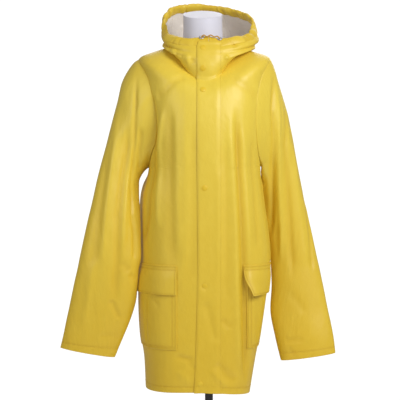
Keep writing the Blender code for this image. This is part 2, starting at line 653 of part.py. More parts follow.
def make_sleeve(name, coat, cuts, folds, side):
    sleeve = Sleeve(cuts, folds, coat, side)
    last = len(cuts) - 1.0
    rows = np.concatenate([np.arange(0.0, 8.0), np.arange(8.0, last, 0.75), [last]])
    angles = np.linspace(0, 360, 2 * ARMHOLE_STEPS + 1)[:-1]
    grid, turns = np.meshgrid(rows, angles, indexing="ij")
    points, normals = sleeve.patch(grid, turns)
    edge_rows, edge_turns = armhole_place(coat, side, angles, ARMHOLE_GAP)
    points[0], normals[0] = coat.patch(edge_rows, edge_turns)
    return wall(name, points, points - normals * CLOTH, YELLOW_CLOTH, closed=True)


def make_hood(hood):
    """The two sides and the crown, between the neck seam and the rim."""
    rows = np.arange(0, len(HOOD_RINGS) - 0.5, 0.5)
    sides = {
        "hood_right": [hood_turns(hood, row, -1) for row in rows],
        "hood_left": [hood_turns(hood, row, 1) for row in rows],
        "hood_crown": [crown_turns() for row in rows],
    }
    for name, table in sides.items():
        turns = np.array([seamed(hood, row, some) for row, some in zip(rows, table)])
        panel(name, hood, np.broadcast_to(rows[:, None], turns.shape), turns)


def rim_frame(hood, turns, peaked=True):
    """Middle of the rim, its directions up and out, and half its height and depth, at each turn."""
    last = np.full(len(turns), len(HOOD_RINGS) - 1.0)
    edge, normals = hood.patch(last, turns)
    below = hood.folded(last - 0.25, turns)
    up = edge - below
    up /= np.linalg.norm(up, axis=-1, keepdims=True)
    normals -= up * np.sum(normals * up, axis=-1, keepdims=True)
    normals /= np.linalg.norm(normals, axis=-1, keepdims=True)
    from_front = np.abs((np.asarray(turns) + 180) % 360 - 180)
    peak = np.exp(-(((edge[..., 0] - RIM_PEAK_X) / RIM_PEAK_HALF) ** 2)) * (from_front < 90) * peaked
    high = (RIM_HEIGHT + RIM_PEAK_RISE * peak[..., None]) / 2
    middle = edge + up * (high + RIM_GAP) - normals * CLOTH / 2
    flat, full = RIM_FLAT_TURNS
    depth = RIM_DEPTH_FRONT + (RIM_DEPTH - RIM_DEPTH_FRONT) * eased((from_front - flat) / (full - flat))
    return middle, up, normals, high, depth[..., None] / 2


def on_rim(frame, turn):
    """Points and normals of the rim's oval section, at a turn in radians down from its top."""
    middle, up, out, high, deep = frame
    points = middle + up * high * math.cos(turn) + out * deep * math.sin(turn)
    normals = up * math.cos(turn) / high + out * math.sin(turn) / deep
    return points, normals / np.linalg.norm(normals, axis=-1, keepdims=True)


def make_rim(hood):
    """A stuffed channel, oval in section, from one side of the closure round to the other."""
    last = len(HOOD_RINGS) - 1.0
    left, right = hood_turns(hood, last, 1), hood_turns(hood, last, -1)
    turns = np.concatenate([left, crown_turns()[1:-1], right[::-1] + 360])
    turns[0] += RIM_END_GAP
    turns[-1] -= RIM_END_GAP
    frame = rim_frame(hood, turns)
    rings = [on_rim(frame, 2 * math.pi * k / RIM_SIDES)[0] for k in range(RIM_SIDES)]
    tube("hood_rim", np.stack(rings, axis=1), YELLOW_CLOTH)


def tube(name, rings, finish):
    """A solid through closed rings of points, with a point at the middle of each end."""
    count, sides = rings.shape[:2]
    faces = grid_triangles(count, sides, closed=True)
    ends = [rings[0].mean(axis=0), rings[-1].mean(axis=0)]
    last = (count - 1) * sides
    for k in range(sides):
        beside = (k + 1) % sides
        faces += [(beside, k, count * sides), (last + k, last + beside, count * sides + 1)]
    return solid(name, np.concatenate([rings.reshape(-1, 3), ends]), faces, finish)


def flap_stations(height):
    """x of the storm flap's columns, from its free edge to its stitched one."""
    return column_stations(-1, height)[2::-1] + column_stations(1, height)[1:3]


def make_storm_flap(coat, hood):
    """One double strip from the hem to the throat, over the fronts and over the hood's ends."""
    points, normals = [], []
    last = len(HOOD_RINGS) - 1.0
    hood_rows = np.concatenate([[0.25], np.arange(0.5, last, 0.5)])
    for loft, rows in ((coat, body_rows(coat)), (hood, hood_rows)):
        stations = [flap_stations(loft.front_height(row)) for row in rows]
        table = np.array([[loft.turn_at(row, x) for x in some] for row, some in zip(rows, stations)])
        some, facing = loft.patch(np.broadcast_to(rows[:, None], table.shape), table)
        points.append(some)
        normals.append(facing)
    crease = np.array([hood.turn_at(0, x) for x in flap_stations(hood.front_height(0))])
    across = normals[0][-1] + hood.patch(np.zeros(len(crease)), crease)[1]
    normals[0][-1] = across / np.linalg.norm(across, axis=-1, keepdims=True)
    top = [hood.turn_at(last, x) for x in flap_stations(hood.front_height(last))]
    frame = rim_frame(hood, np.array(top), peaked=False)
    for turn in FLAP_TOP_TURNS:
        some, facing = on_rim(frame, math.radians(turn))
        points.append(some[None])
        normals.append(facing[None])
    at_crease = len(points[0]) - 1
    points, normals = np.concatenate(points), np.concatenate(normals)
    stand = np.full(len(points), LAYER)
    stand[at_crease : at_crease + 2] = CREASE_STAND
    back = points + normals * stand[:, None, None]
    wall("storm_flap", back + normals * DOUBLE_CLOTH, back, YELLOW_CLOTH)


def make_pocket(coat, word, side):
    """A patch pocket, made from the front panel's own points, moved out, and its flap."""
    rows = body_rows(coat)
    turns = front_turns(coat, rows, side)
    grid = np.broadcast_to(rows[:, None], turns.shape)
    points, normals = coat.patch(grid, turns)
    first = first_pocket_column(side)
    across = slice(first, first + POCKET_COLUMNS + 1)
    low, mouth = row_place(POCKET_BOTTOM_Z), row_place(POCKET_TOP_Z)
    bag, facing = points[low : mouth + 1, across], normals[low : mouth + 1, across]
    face = bag + facing * (LAYER + DOUBLE_CLOTH)
    wall("pocket_" + word, face, bag + facing * LAYER, YELLOW_CLOTH, origin=(low, first))

    bottom, top = row_place(POCKET_FLAP_BOTTOM_Z), row_place(POCKET_FLAP_TOP_Z)
    cover, facing = points[bottom : top + 1, across], normals[bottom : top + 1, across]
    clear = 2 * LAYER + DOUBLE_CLOTH
    stand = np.zeros(cover.shape[:2])
    stand[0], stand[1], stand[2] = clear + FLAP_STAND, clear + FLAP_STAND / 2, LAYER
    if side > 0:
        stand[0] += CORNER_LIFT * np.linspace(1, 0, stand.shape[1]) ** 2
        stand[1, 0] += CORNER_LIFT / 4
        cover = cover.copy()
        cover[0, 0] = cover[0, 0] * 0.25 + cover[0, 1] * 0.75
    back = cover + facing * stand[..., None]
    wall("pocket_flap_" + word, back + facing * DOUBLE_CLOTH, back, YELLOW_CLOTH, origin=(bottom, first))


def row_place(height):
    """The number of the body's row at one of the low heights."""
    return 1 + LOW_HEIGHTS.index(height)


def turned(name, profile, sides, finish, closed_profile=False):
    """A turned piece about +Z from (radius, height) points, in millimetres."""
    points = []
    for radius, height in profile:
        for k in range(sides):
            turn = 2 * math.pi * k / sides
            points.append((radius * math.cos(turn), radius * math.sin(turn), height))
    rings = np.array(points).reshape(len(profile), sides, 3)
    if not closed_profile:
        return tube(name, rings, finish)
    rings = np.concatenate([rings, rings[:1]])
    count = len(profile)
    faces = grid_triangles(count + 1, sides, closed=True)
    faces = [tuple(corner % (count * sides) for corner in face) for face in faces]
    return solid(name, rings[:-1].reshape(-1, 3), faces, finish)


def seat(made, point, axis):
    """Puts a turned piece with its own origin at a point, its +Z along an axis."""
    place = Vector(tuple(axis)).to_track_quat("Z", "Y").to_matrix().to_4x4()
    made.matrix_world = Matrix.Translation(Vector(tuple(point * MM))) @ place


def make_snaps(coat, hood):
    profile = [
        (SNAP_RADIUS, 0.0),
        (SNAP_RADIUS, SNAP_HEIGHT * 0.4),
        (SNAP_RADIUS * 0.8, SNAP_HEIGHT * 0.85),
        (SNAP_RADIUS * 0.4, SNAP_HEIGHT),
    ]
    for number, height in enumerate(SNAP_HEIGHTS, 1):
        loft = coat if height < BODY_RINGS[-1].z_front else hood
        row = loft.row_at(height)
        turn = loft.turn_at(row, flap_edge(height) + SNAP_INSET)
        point, normal = loft.patch(np.array([row]), np.array([turn]))
        made = turned(f"snap_{number}", profile, SNAP_SIDES, YELLOW_SNAP)
        stand = 2 * LAYER + DOUBLE_CLOTH + (SNAP_CLEAR if loft is hood else 0)
        seat(made, point[0] + normal[0] * stand, normal[0])


def eyelet_place(hood, x):
    """Middle and axis of an eyelet on the rim's front."""
    turns = np.array([hood.turn_at(len(HOOD_RINGS) - 1.0, x)])
    points, axes = on_rim(rim_frame(hood, turns), math.radians(EYELET_TURN))
    return points[0] + axes[0] * 2 * LAYER, axes[0]


def make_eyelets(hood):
    middle = (EYELET_OUTER + EYELET_INNER) / 2
    profile = [
        (EYELET_OUTER, 0.0),
        (EYELET_OUTER, EYELET_THICK * 0.6),
        (middle, EYELET_THICK),
        (EYELET_INNER, EYELET_THICK * 0.6),
        (EYELET_INNER, 0.0),
    ]
    for name, x in EYELETS:
        made = turned(name, profile, EYELET_SIDES, SILVER, closed_profile=True)
        seat(made, *eyelet_place(hood, x))


def make_drawcord(hood):
    """The stretch of cord that shows between the eyelets, on the rim's front."""
    (start, start_axis), (end, end_axis) = (eyelet_place(hood, x) for name, x in EYELETS)
    across = end - start
    route = [start + start_axis * CORD_RISE[0]]
    for share, rise in zip(CORD_SHARES, CORD_RISE[1:-1]):
        route.append(start + across * share + start_axis * rise + np.array([0, 0, CORD_WAVE[share]]))
    route.append(end + end_axis * CORD_RISE[-1])
    points = curve_through(route, np.linspace(0, len(route) - 1, CORD_POINTS)) * MM
    curve = bpy.data.curves.new("drawcord", "CURVE")
    curve.dimensions = "3D"
    curve.bevel_depth = CORD_RADIUS * MM
    curve.bevel_resolution = 2
    curve.use_fill_caps = True
    spline = curve.splines.new("POLY")
    spline.points.add(len(points) - 1)
    for place, point in zip(spline.points, points):
        place.co = (*point, 1.0)
    made = bpy.data.objects.new("drawcord", curve)
    curve.materials.append(material(CORD_YELLOW))
    bpy.context.scene.collection.objects.link(made)


def make_form():
    """Torso and neck in one smooth body, with a slanted flat top."""
    form = Loft(FORM_RINGS)
    rows = np.arange(0, len(FORM_RINGS) - 0.5, 0.5)
    angles = np.linspace(-180, 180, FORM_SIDES + 1)[:-1]
    grid, turns = np.meshgrid(rows, angles, indexing="ij")
    tube("form_torso", form.smooth(grid, turns), WHITE_FORM)


def make_stand():
    bottom = FORM_RINGS[0].z_front
    pole = [(POLE_RADIUS, FOOT_COLLAR_TOP + SEAM), (POLE_RADIUS, bottom - SEAM)]
    turned("stand_pole", pole, POLE_SIDES, BLACK_METAL)
    foot = [
        (FOOT_RADIUS, 0.0),
        (FOOT_RADIUS, FOOT_THICK * 0.7),
        (FOOT_RADIUS - 3, FOOT_THICK),
        (FOOT_COLLAR_RADIUS + 12, FOOT_THICK + 3),
        (FOOT_COLLAR_RADIUS, FOOT_THICK + 9),
        (FOOT_COLLAR_RADIUS - 3, FOOT_COLLAR_TOP),
    ]
    turned("stand_base", foot, FOOT_SIDES, BLACK_METAL)


def main():
    clear_scene()
    coat = Loft(BODY_RINGS, BODY_FOLDS)
    hood = Loft(HOOD_RINGS, HOOD_FOLDS)
    make_fronts(coat)
    make_back(coat)
    make_sleeve("sleeve_right", coat, SLEEVE_RIGHT, SLEEVE_RIGHT_FOLDS, -1)
    make_sleeve("sleeve_left", coat, SLEEVE_LEFT, SLEEVE_LEFT_FOLDS, 1)
    make_hood(hood)
    make_rim(hood)
    make_storm_flap(coat, hood)
    make_pocket(coat, "right", -1)
    make_pocket(coat, "left", 1)
    make_snaps(coat, hood)
    make_eyelets(hood)
    make_drawcord(hood)
    make_form()
    make_stand()


main()
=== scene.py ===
"""A hooded raincoat on a dress form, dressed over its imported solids.

Sizes in the tables are millimetres; the meshes are metres, in the solids' own frame: +Z is up,
the coat's front faces -Y, the wearer's right is at -X. The coat, the hood and the dress form are
lofts of rings, and a place on a loft is a row, counted in rings, and a turn, an angle from the
front point: -90 degrees is the wearer's right side, +90 the left side and 180 the back.
"""

import itertools
import logging
import math
from dataclasses import dataclass, field
from enum import Enum
from typing import Any, Callable, NamedTuple, Sequence

import bpy
import numpy as np
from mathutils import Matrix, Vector
from mathutils.kdtree import KDTree


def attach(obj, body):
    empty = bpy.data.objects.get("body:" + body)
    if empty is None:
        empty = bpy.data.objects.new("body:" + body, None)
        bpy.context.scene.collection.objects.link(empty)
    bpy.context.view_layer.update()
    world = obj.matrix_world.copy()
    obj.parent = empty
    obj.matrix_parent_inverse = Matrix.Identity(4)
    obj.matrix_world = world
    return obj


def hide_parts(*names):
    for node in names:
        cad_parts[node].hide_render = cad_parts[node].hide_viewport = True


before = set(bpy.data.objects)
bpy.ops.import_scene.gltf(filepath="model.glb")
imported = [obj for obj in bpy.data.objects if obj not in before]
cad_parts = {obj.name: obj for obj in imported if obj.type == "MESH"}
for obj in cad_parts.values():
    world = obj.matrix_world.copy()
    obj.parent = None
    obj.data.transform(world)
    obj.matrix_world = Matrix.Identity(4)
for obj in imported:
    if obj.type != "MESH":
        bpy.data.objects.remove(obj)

Grid = np.ndarray
Material, Object, Socket = bpy.types.Material, bpy.types.Object, bpy.types.NodeSocket
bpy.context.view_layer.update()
MM = 0.001
STEP = 0.02  # in rows, for slopes taken by difference
STITCH_STAND = 0.1  # of a row of stitches off the cloth, in millimetres
SEAM_DEPTH, SEAM_HALF_WIDTH = 0.45, 1.5  # of the groove that a row of stitches draws, in millimetres
FULL_RELIEF = 8.0  # millimetres of fold at which the painted shade in valleys is deepest and the painted highlight on ridges palest
log = logging.getLogger("raincoat")


class Side(Enum):
    """The wearer's side that a piece is on; its value is the sign of x there."""

    RIGHT = -1
    LEFT = 1

    @property
    def word(self) -> str:
        """The side's word in the solids' names."""
        return self.name.lower()


class Facing(Enum):
    """The direction from which a fold's path is seen: its normal's axis and sign."""

    FRONT = (1, -1)
    BACK = (1, 1)
    RIGHT = (0, -1)
    LEFT = (0, 1)


class Ring(NamedTuple):
    """One closed curve of a loft, with a point in front, at the back and at each side."""

    name: str
    x_right: float
    x_left: float
    x_front: float
    x_back: float
    y_front: float
    y_right: float
    y_left: float
    y_back: float
    z_front: float
    z_right: float
    z_left: float
    z_back: float
    square_front: float
    square_back: float
    fall_front: float
    fall_right: float
    fall_left: float


class Cut(NamedTuple):
    """One oval section of a sleeve."""

    x_outer: float
    z_outer: float
    x_inner: float
    z_inner: float
    y_middle: float
    front: float
    back: float

    def far_from(self, other: "Cut") -> float:
        """The distance between two cuts' outer points."""
        return math.hypot(self.x_outer - other.x_outer, self.z_outer - other.z_outer)


class Fold(NamedTuple):
    """A soft ridge, or a valley where its height is negative, along a path of (across, z)."""

    facing: Facing
    half_width: float
    height: float
    path: tuple[tuple[float, float], ...]


class Tuck(NamedTuple):
    """How far a piece's edge runs on under its neighbour, and how far it sinks."""

    reach: float
    depth: float


class Wave(NamedTuple):
    """An uneven swell of the cloth: its height, its size along x, y and z, and its seed."""

    height: float
    size: tuple[float, float, float]
    seed: int


BODY_RINGS = (
    Ring("hem", -165, 105, -30, -28, -138, 22, -22, 146, 563, 556, 548, 553, 2.9, 2.4, 2, 2, 2),
    Ring("skirt", -169, 119, -24, -24, -142, 24, -25, 149, 635, 635, 635, 635, 2.9, 2.4, 2, 2, 2),
    Ring("thigh", -179, 131, -21, -22, -145, 28, -30, 151, 700, 700, 700, 700, 2.9, 2.4, 2, 2, 2),
    Ring("pocket", -184, 142, -18, -18, -147, 34, -34, 151, 790, 790, 790, 790, 2.7, 2.4, 2, 2, 2),
    Ring("hip", -181, 155, -14, -16, -149, 34, -36, 147, 885, 885, 885, 885, 2.6, 2.4, 2, 2, 2),
    Ring("waist", -179, 148, -12, -14, -150, 30, -34, 139, 975, 975, 975, 975, 2.6, 2.4, 2, 2, 2),
    Ring("ribs", -174, 138, -11, -12, -151, 20, -22, 132, 1052, 1052, 1052, 1052, 2.6, 2.4, 2, 2, 2),
    Ring("armpit", -156, 133, -11, -12, -152, 8, -6, 126, 1123, 1123, 1128, 1123, 2.5, 2.4, 2, 2, 2),
    Ring("chest", -160, 138, -10, -12, -152, 6, 0, 121, 1190, 1206, 1210, 1205, 2.4, 2.3, 2, 2, 2),
    Ring("bust", -167, 145, -10, -12, -148, 5, 2, 117, 1250, 1292, 1296, 1290, 2.3, 2.2, 2, 2, 2),
    Ring("blades", -176, 153, -10, -12, -140, 4, 3, 111, 1292, 1364, 1367, 1356, 2.2, 2.2, 2, 2, 2),
    Ring("shoulder", -182, 158, -10, -12, -131, 2, 2, 101, 1316, 1405, 1407, 1394, 2.1, 2.1, 2, 2, 2),
    Ring("yoke", -138, 112, -10, -12, -120, -2, -2, 86, 1331, 1425, 1425, 1426, 2.1, 2.1, 2, 2, 2),
    Ring("neck", -86, 64, -10, -12, -108, -6, -6, 68, 1344, 1440, 1441, 1452, 2.1, 2.1, 2, 2, 2),
)
HOOD_RINGS = (
    Ring("neck", -86, 64, -10, -12, -108, -6, -6, 68, 1345, 1441, 1442, 1453, 2.1, 2.1, 2, 2, 2),
    Ring("out", -101, 84, -10, -12, -112, -4, -4, 97, 1362, 1442, 1442, 1446, 2.1, 2.1, 2, 3, 3),
    Ring("over", -114, 106, -10, -12, -113, 0, 0, 120, 1378, 1440, 1437, 1412, 2.1, 2.1, 2, 3.4, 3.4),
    Ring("drop", -120, 118, -10, -12, -112, 4, 4, 137, 1391, 1438, 1432, 1356, 2.2, 2.1, 1.8, 3.4, 3.4),
    Ring("bag", -119, 119, -10, -12, -110, 8, 8, 158, 1401, 1445, 1439, 1322, 2.2, 2.1, 1.5, 3.4, 3.4),
    Ring("turn", -113, 118, -10, -14, -107, 10, 10, 184, 1410, 1453, 1444, 1330, 2.2, 2.1, 1.2, 3.4, 3.4),
    Ring("rise", -120, 127, -9, -18, -104, 12, 12, 199, 1418, 1460, 1453, 1384, 2.2, 2.1, 1.0, 3, 3),
    Ring("fold", -124, 129, -8, -24, -100, 13, 13, 198, 1424, 1467, 1463, 1446, 2.2, 2.1, 0.9, 2.2, 1.8),
    Ring("lift", -124, 127, -8, -32, -97, 14, 14, 176, 1428, 1473, 1471, 1506, 2.2, 2.1, 0.8, 1.6, 1.1),
    Ring("rim", -122, 123, -8, -40, -95, 14, 14, 147, 1431, 1476, 1477, 1549, 2.2, 2.1, 0.75, 1.3, 0.7),
)
FORM_RINGS = (
    Ring("base", -92, 76, -2, -2, -72, 4, 4, 84, 664, 664, 664, 664, 2.2, 2.2, 1, 1, 1),
    Ring("seat", -128, 104, -3, -3, -96, 6, 6, 112, 690, 690, 690, 690, 2.3, 2.2, 1, 1, 1),
    Ring("hip", -140, 122, -5, -5, -102, 6, 6, 118, 800, 800, 800, 800, 2.3, 2.2, 1, 1, 1),
    Ring("waist", -114, 98, -9, -9, -88, 0, 0, 86, 1010, 1010, 1010, 1010, 2.2, 2.2, 1, 1, 1),
    Ring("under_bust", -119, 97, -11, -11, -98, -4, -4, 84, 1140, 1140, 1140, 1140, 2.2, 2.2, 1, 1, 1),
    Ring("bust", -130, 106, -12, -12, -122, -6, -6, 90, 1240, 1240, 1240, 1240, 2.3, 2.2, 1, 1, 1),
    Ring("chest", -142, 117, -13, -13, -98, -4, -4, 88, 1322, 1322, 1322, 1330, 2.2, 2.2, 1, 1, 1),
    Ring("shoulder", -160, 134, -14, -14, -62, -2, -2, 66, 1376, 1382, 1382, 1384, 2.1, 2.1, 1, 1, 1),
    Ring("slope", -128, 100, -15, -15, -48, -2, -2, 54, 1398, 1406, 1406, 1410, 2.0, 2.0, 1, 1, 1),
    Ring("neck_base", -74, 44, -16, -16, -52, -4, -4, 46, 1424, 1428, 1428, 1436, 2.0, 2.0, 1, 1, 1),
    Ring("neck", -67, 35, -16, -16, -56, -8, -8, 40, 1462, 1470, 1470, 1476, 2.0, 2.0, 1, 1, 1),
    Ring("neck_top", -67, 34, -17, -17, -60, -12, -12, 36, 1502, 1518, 1518, 1534, 2.0, 2.0, 1, 1, 1),
)
SLEEVE_CUTS = {
    Side.RIGHT: (
        Cut(-182, 1405, -156, 1124, 4, 70, 70),
        Cut(-196, 1395, -161, 1121, 2, 68, 66),
        Cut(-212, 1371, -167, 1115, -2, 66, 62),
        Cut(-226, 1340, -173, 1106, -7, 62, 58),
        Cut(-236, 1298, -179, 1094, -13, 58, 54),
        Cut(-248, 1250, -183, 1079, -21, 54, 50),
        Cut(-262, 1192, -186, 1062, -30, 50, 46),
        Cut(-276, 1134, -185, 1036, -39, 46, 42),
        Cut(-296, 1052, -182, 1000, -49, 42, 38),
        Cut(-316, 966, -180, 946, -57, 38, 35),
        Cut(-333, 884, -179, 882, -61, 35, 32),
        Cut(-348, 816, -183, 818, -60, 32, 30),
        Cut(-359, 766, -190, 772, -57, 30, 28),
        Cut(-371, 715, -210, 714, -54, 27, 26),
        Cut(-383, 663, -242, 638, -50, 24, 24),
    ),
    Side.LEFT: (
        Cut(158, 1407, 134, 1129, 2, 68, 68),
        Cut(164, 1396, 137, 1126, 3, 66, 66),
        Cut(171, 1379, 139, 1120, 5, 64, 62),
        Cut(180, 1349, 140, 1110, 8, 60, 58),
        Cut(192, 1310, 141, 1096, 13, 56, 54),
        Cut(206, 1261, 142, 1077, 18, 52, 51),
        Cut(219, 1206, 144, 1052, 23, 48, 48),
        Cut(232, 1144, 148, 1020, 28, 44, 45),
        Cut(247, 1070, 151, 980, 31, 40, 42),
        Cut(263, 985, 155, 932, 32, 37, 38),
        Cut(281, 903, 162, 880, 30, 34, 35),
        Cut(298, 822, 165, 816, 23, 31, 32),
        Cut(312, 750, 161, 745, 14, 28, 29),
        Cut(324, 690, 173, 682, 5, 26, 26),
        Cut(330, 641, 187, 621, 0, 24, 24),
    ),
}
FRONT, BACK, RIGHT, LEFT = Facing
BODY_FOLDS = (
    # The pleat beside the wearer's left chest, with the ridges on its two sides
    Fold(FRONT, 9, -9.5, ((68, 1290), (71, 1210), (75, 1100), (80, 1000), (84, 880), (86, 700), (87, 560))),
    Fold(FRONT, 12, 5, ((50, 1290), (55, 1180), (61, 1080), (66, 980), (70, 860), (72, 700), (73, 570))),
    Fold(FRONT, 9, 3, ((84, 1240), (90, 1120), (96, 980), (100, 860))),
    # The wearer's right chest, from the armhole to the pocket
    Fold(FRONT, 9, 5, ((-112, 1284), (-119, 1255), (-126, 1183), (-128, 1080), (-129, 960))),
    Fold(FRONT, 13, -9.5, ((-150, 1308), (-143, 1262), (-141, 1215), (-141, 1165))),
    Fold(FRONT, 11, -7.5, ((-142, 1200), (-144, 1140), (-150, 1070), (-157, 1010), (-166, 930))),
    Fold(FRONT, 15, -3, ((-96, 1290), (-99, 1200), (-99, 1080), (-97, 950), (-95, 860))),
    Fold(FRONT, 10, 2.5, ((-82, 1280), (-82, 1150), (-80, 1020), (-80, 900))),
    Fold(FRONT, 10, -3.5, ((108, 1220), (114, 1080), (120, 980), (124, 900))),
    Fold(FRONT, 8, 3, ((-146, 1150), (-152, 1080), (-160, 1000))),
    # Long swells of the front
    Fold(FRONT, 16, 2, ((-60, 1290), (-58, 1150), (-58, 1000), (-62, 860))),
    Fold(FRONT, 12, -2, ((-44, 1240), (-42, 1100), (-46, 940), (-48, 820))),
    Fold(FRONT, 9, -2, ((38, 1200), (40, 1050), (42, 900), (44, 760))),
    Fold(FRONT, 9, 2, ((26, 1140), (26, 980), (28, 840))),
    Fold(FRONT, 9, 2, ((106, 840), (110, 740), (104, 640))),
    # Dents low on the front
    Fold(FRONT, 7, -2.5, ((-23, 836), (-14, 828), (-4, 823))),
    Fold(FRONT, 10, -2.5, ((-11, 798), (1, 749), (14, 687))),
    Fold(FRONT, 7, -2.5, ((31, 749), (43, 736), (56, 724))),
    Fold(FRONT, 11, -3, ((14, 637), (38, 612), (63, 588))),
    Fold(FRONT, 7, 2, ((4, 626), (24, 598), (46, 578))),
    Fold(FRONT, 7, -3, ((-83, 656), (-61, 649), (-41, 644))),
    Fold(FRONT, 6, -2, ((-53, 639), (-43, 629), (-38, 621))),
    Fold(FRONT, 10, 2, ((-80, 622), (-62, 600), (-50, 585))),
    Fold(FRONT, 5, -2, ((-140, 796), (-130, 786), (-123, 776))),
    Fold(FRONT, 6, -2.5, ((-158, 800), (-157, 743), (-154, 681))),
    # The yoke, from the neck seam to the armholes
    Fold(FRONT, 10, -3, ((-58, 1352), (-84, 1340), (-112, 1318), (-134, 1296))),
    Fold(FRONT, 12, -3, ((48, 1350), (74, 1338), (104, 1316), (122, 1292))),
    # The back
    Fold(BACK, 18, -9.5, ((-92, 1240), (-96, 1050), (-104, 850), (-108, 640), (-110, 540))),
    Fold(BACK, 20, -8, ((66, 1220), (72, 1000), (80, 800), (82, 640), (80, 540))),
    Fold(BACK, 18, 6.5, ((-48, 1200), (-50, 950), (-56, 700), (-58, 540))),
    Fold(BACK, 16, 5.5, ((28, 1180), (32, 900), (36, 650), (36, 540))),
    Fold(BACK, 12, -5, ((-12, 1160), (-14, 980), (-8, 760))),
    Fold(BACK, 10, 4, ((-122, 1200), (-128, 1060), (-134, 900))),
    Fold(BACK, 15, -2.5, ((-128, 1310), (-84, 1262), (-30, 1236))),
    Fold(BACK, 16, -2.5, ((116, 1312), (70, 1266), (14, 1240))),
    Fold(BACK, 15, -1.8, ((-90, 910), (-40, 880), (12, 866))),
    # The sides
    Fold(RIGHT, 14, 5, ((10, 1112), (18, 1085), (26, 1050), (32, 960), (34, 860))),
    Fold(RIGHT, 11, -7, ((62, 1080), (66, 960), (68, 820), (66, 640))),
    Fold(RIGHT, 11, 5, ((92, 1060), (98, 900), (100, 700))),
    Fold(LEFT, 14, 4, ((-6, 1116), (-16, 1085), (-24, 1050), (-32, 940), (-32, 860))),
    Fold(LEFT, 11, -6, ((14, 1060), (22, 900), (28, 700))),
    Fold(LEFT, 11, 5, ((48, 1080), (56, 900), (60, 700))),
)
SLEEVE_FOLDS = {
    Side.RIGHT: (
        # Long ones from the shoulder to the cuff
        Fold(FRONT, 10, -6, ((-205, 1245), (-209, 1160), (-222, 1080), (-231, 1000), (-235, 880), (-242, 765))),
        Fold(FRONT, 8, 3.5, ((-194, 1200), (-201, 1130), (-212, 1060), (-218, 980), (-221, 900))),
        Fold(FRONT, 5, -5, ((-183, 1370), (-185, 1290), (-190, 1200), (-195, 1130), (-196, 1040), (-199, 965))),
        Fold(FRONT, 10, 4, ((-232, 1230), (-248, 1120), (-262, 1010), (-272, 880))),
        Fold(FRONT, 13, -2.4, ((-256, 1160), (-282, 990), (-300, 840))),
        Fold(FRONT, 10, 2.5, ((-290, 900), (-304, 800), (-318, 720))),
        # Short ones at the inside and down by the cuff
        Fold(FRONT, 12, 6, ((-174, 1095), (-181, 1060), (-183, 1030), (-180, 985), (-178, 940), (-178, 860))),
        Fold(FRONT, 6, -4, ((-174, 1230), (-177, 1170), (-181, 1110))),
        Fold(FRONT, 5, -3.5, ((-196, 1010), (-191, 954), (-190, 890))),
        Fold(FRONT, 9, -2, ((-223, 887), (-213, 874), (-202, 862))),
        Fold(FRONT, 7, -2, ((-204, 852), (-194, 846), (-184, 843))),
        Fold(FRONT, 6, -3.5, ((-251, 790), (-239, 765), (-226, 739))),
        Fold(FRONT, 4, -1.5, ((-280, 697), (-252, 695), (-226, 693))),
        # The back
        Fold(BACK, 11, -8, ((-214, 1300), (-222, 1160), (-238, 1000), (-262, 820))),
        Fold(BACK, 12, 6, ((-236, 1240), (-250, 1080), (-280, 900))),
        Fold(BACK, 12, -3, ((-196, 1026), (-238, 996), (-284, 984))),
        Fold(BACK, 12, -2.5, ((-200, 944), (-246, 908), (-298, 890))),
        Fold(RIGHT, 10, -5, ((-4, 1260), (-16, 1140), (-34, 1010))),
    ),
    Side.LEFT: (
        Fold(FRONT, 8, -7, ((161, 1380), (163, 1270), (165, 1120), (163, 1010), (161, 930))),
        Fold(FRONT, 7, 5, ((174, 1340), (178, 1200), (182, 1080), (186, 960), (188, 860))),
        Fold(FRONT, 9, -5, ((190, 1320), (196, 1180), (207, 1040), (214, 930), (218, 820))),
        Fold(FRONT, 10, 2.5, ((216, 1220), (228, 1090), (242, 960), (254, 860))),
        Fold(FRONT, 11, 6, ((140, 1134), (141, 1095), (143, 1045), (148, 990), (152, 940))),
        Fold(FRONT, 7, -3.5, ((250, 1060), (262, 960), (272, 850))),
        Fold(FRONT, 10, -1.6, ((206, 800), (230, 775), (252, 746))),
        Fold(FRONT, 5, -2.5, ((196, 676), (221, 675), (250, 677))),
        Fold(FRONT, 5, -2, ((208, 655), (216, 645), (224, 637))),
        Fold(BACK, 11, -8, ((176, 1290), (186, 1150), (206, 980), (226, 800))),
        Fold(BACK, 12, 6, ((200, 1220), (214, 1060), (240, 880))),
        Fold(BACK, 12, -3, ((162, 1016), (204, 988), (246, 978))),
        Fold(BACK, 12, -2.5, ((170, 930), (214, 898), (262, 884))),
        Fold(LEFT, 10, -5, ((6, 1260), (18, 1140), (30, 1010))),
    ),
}
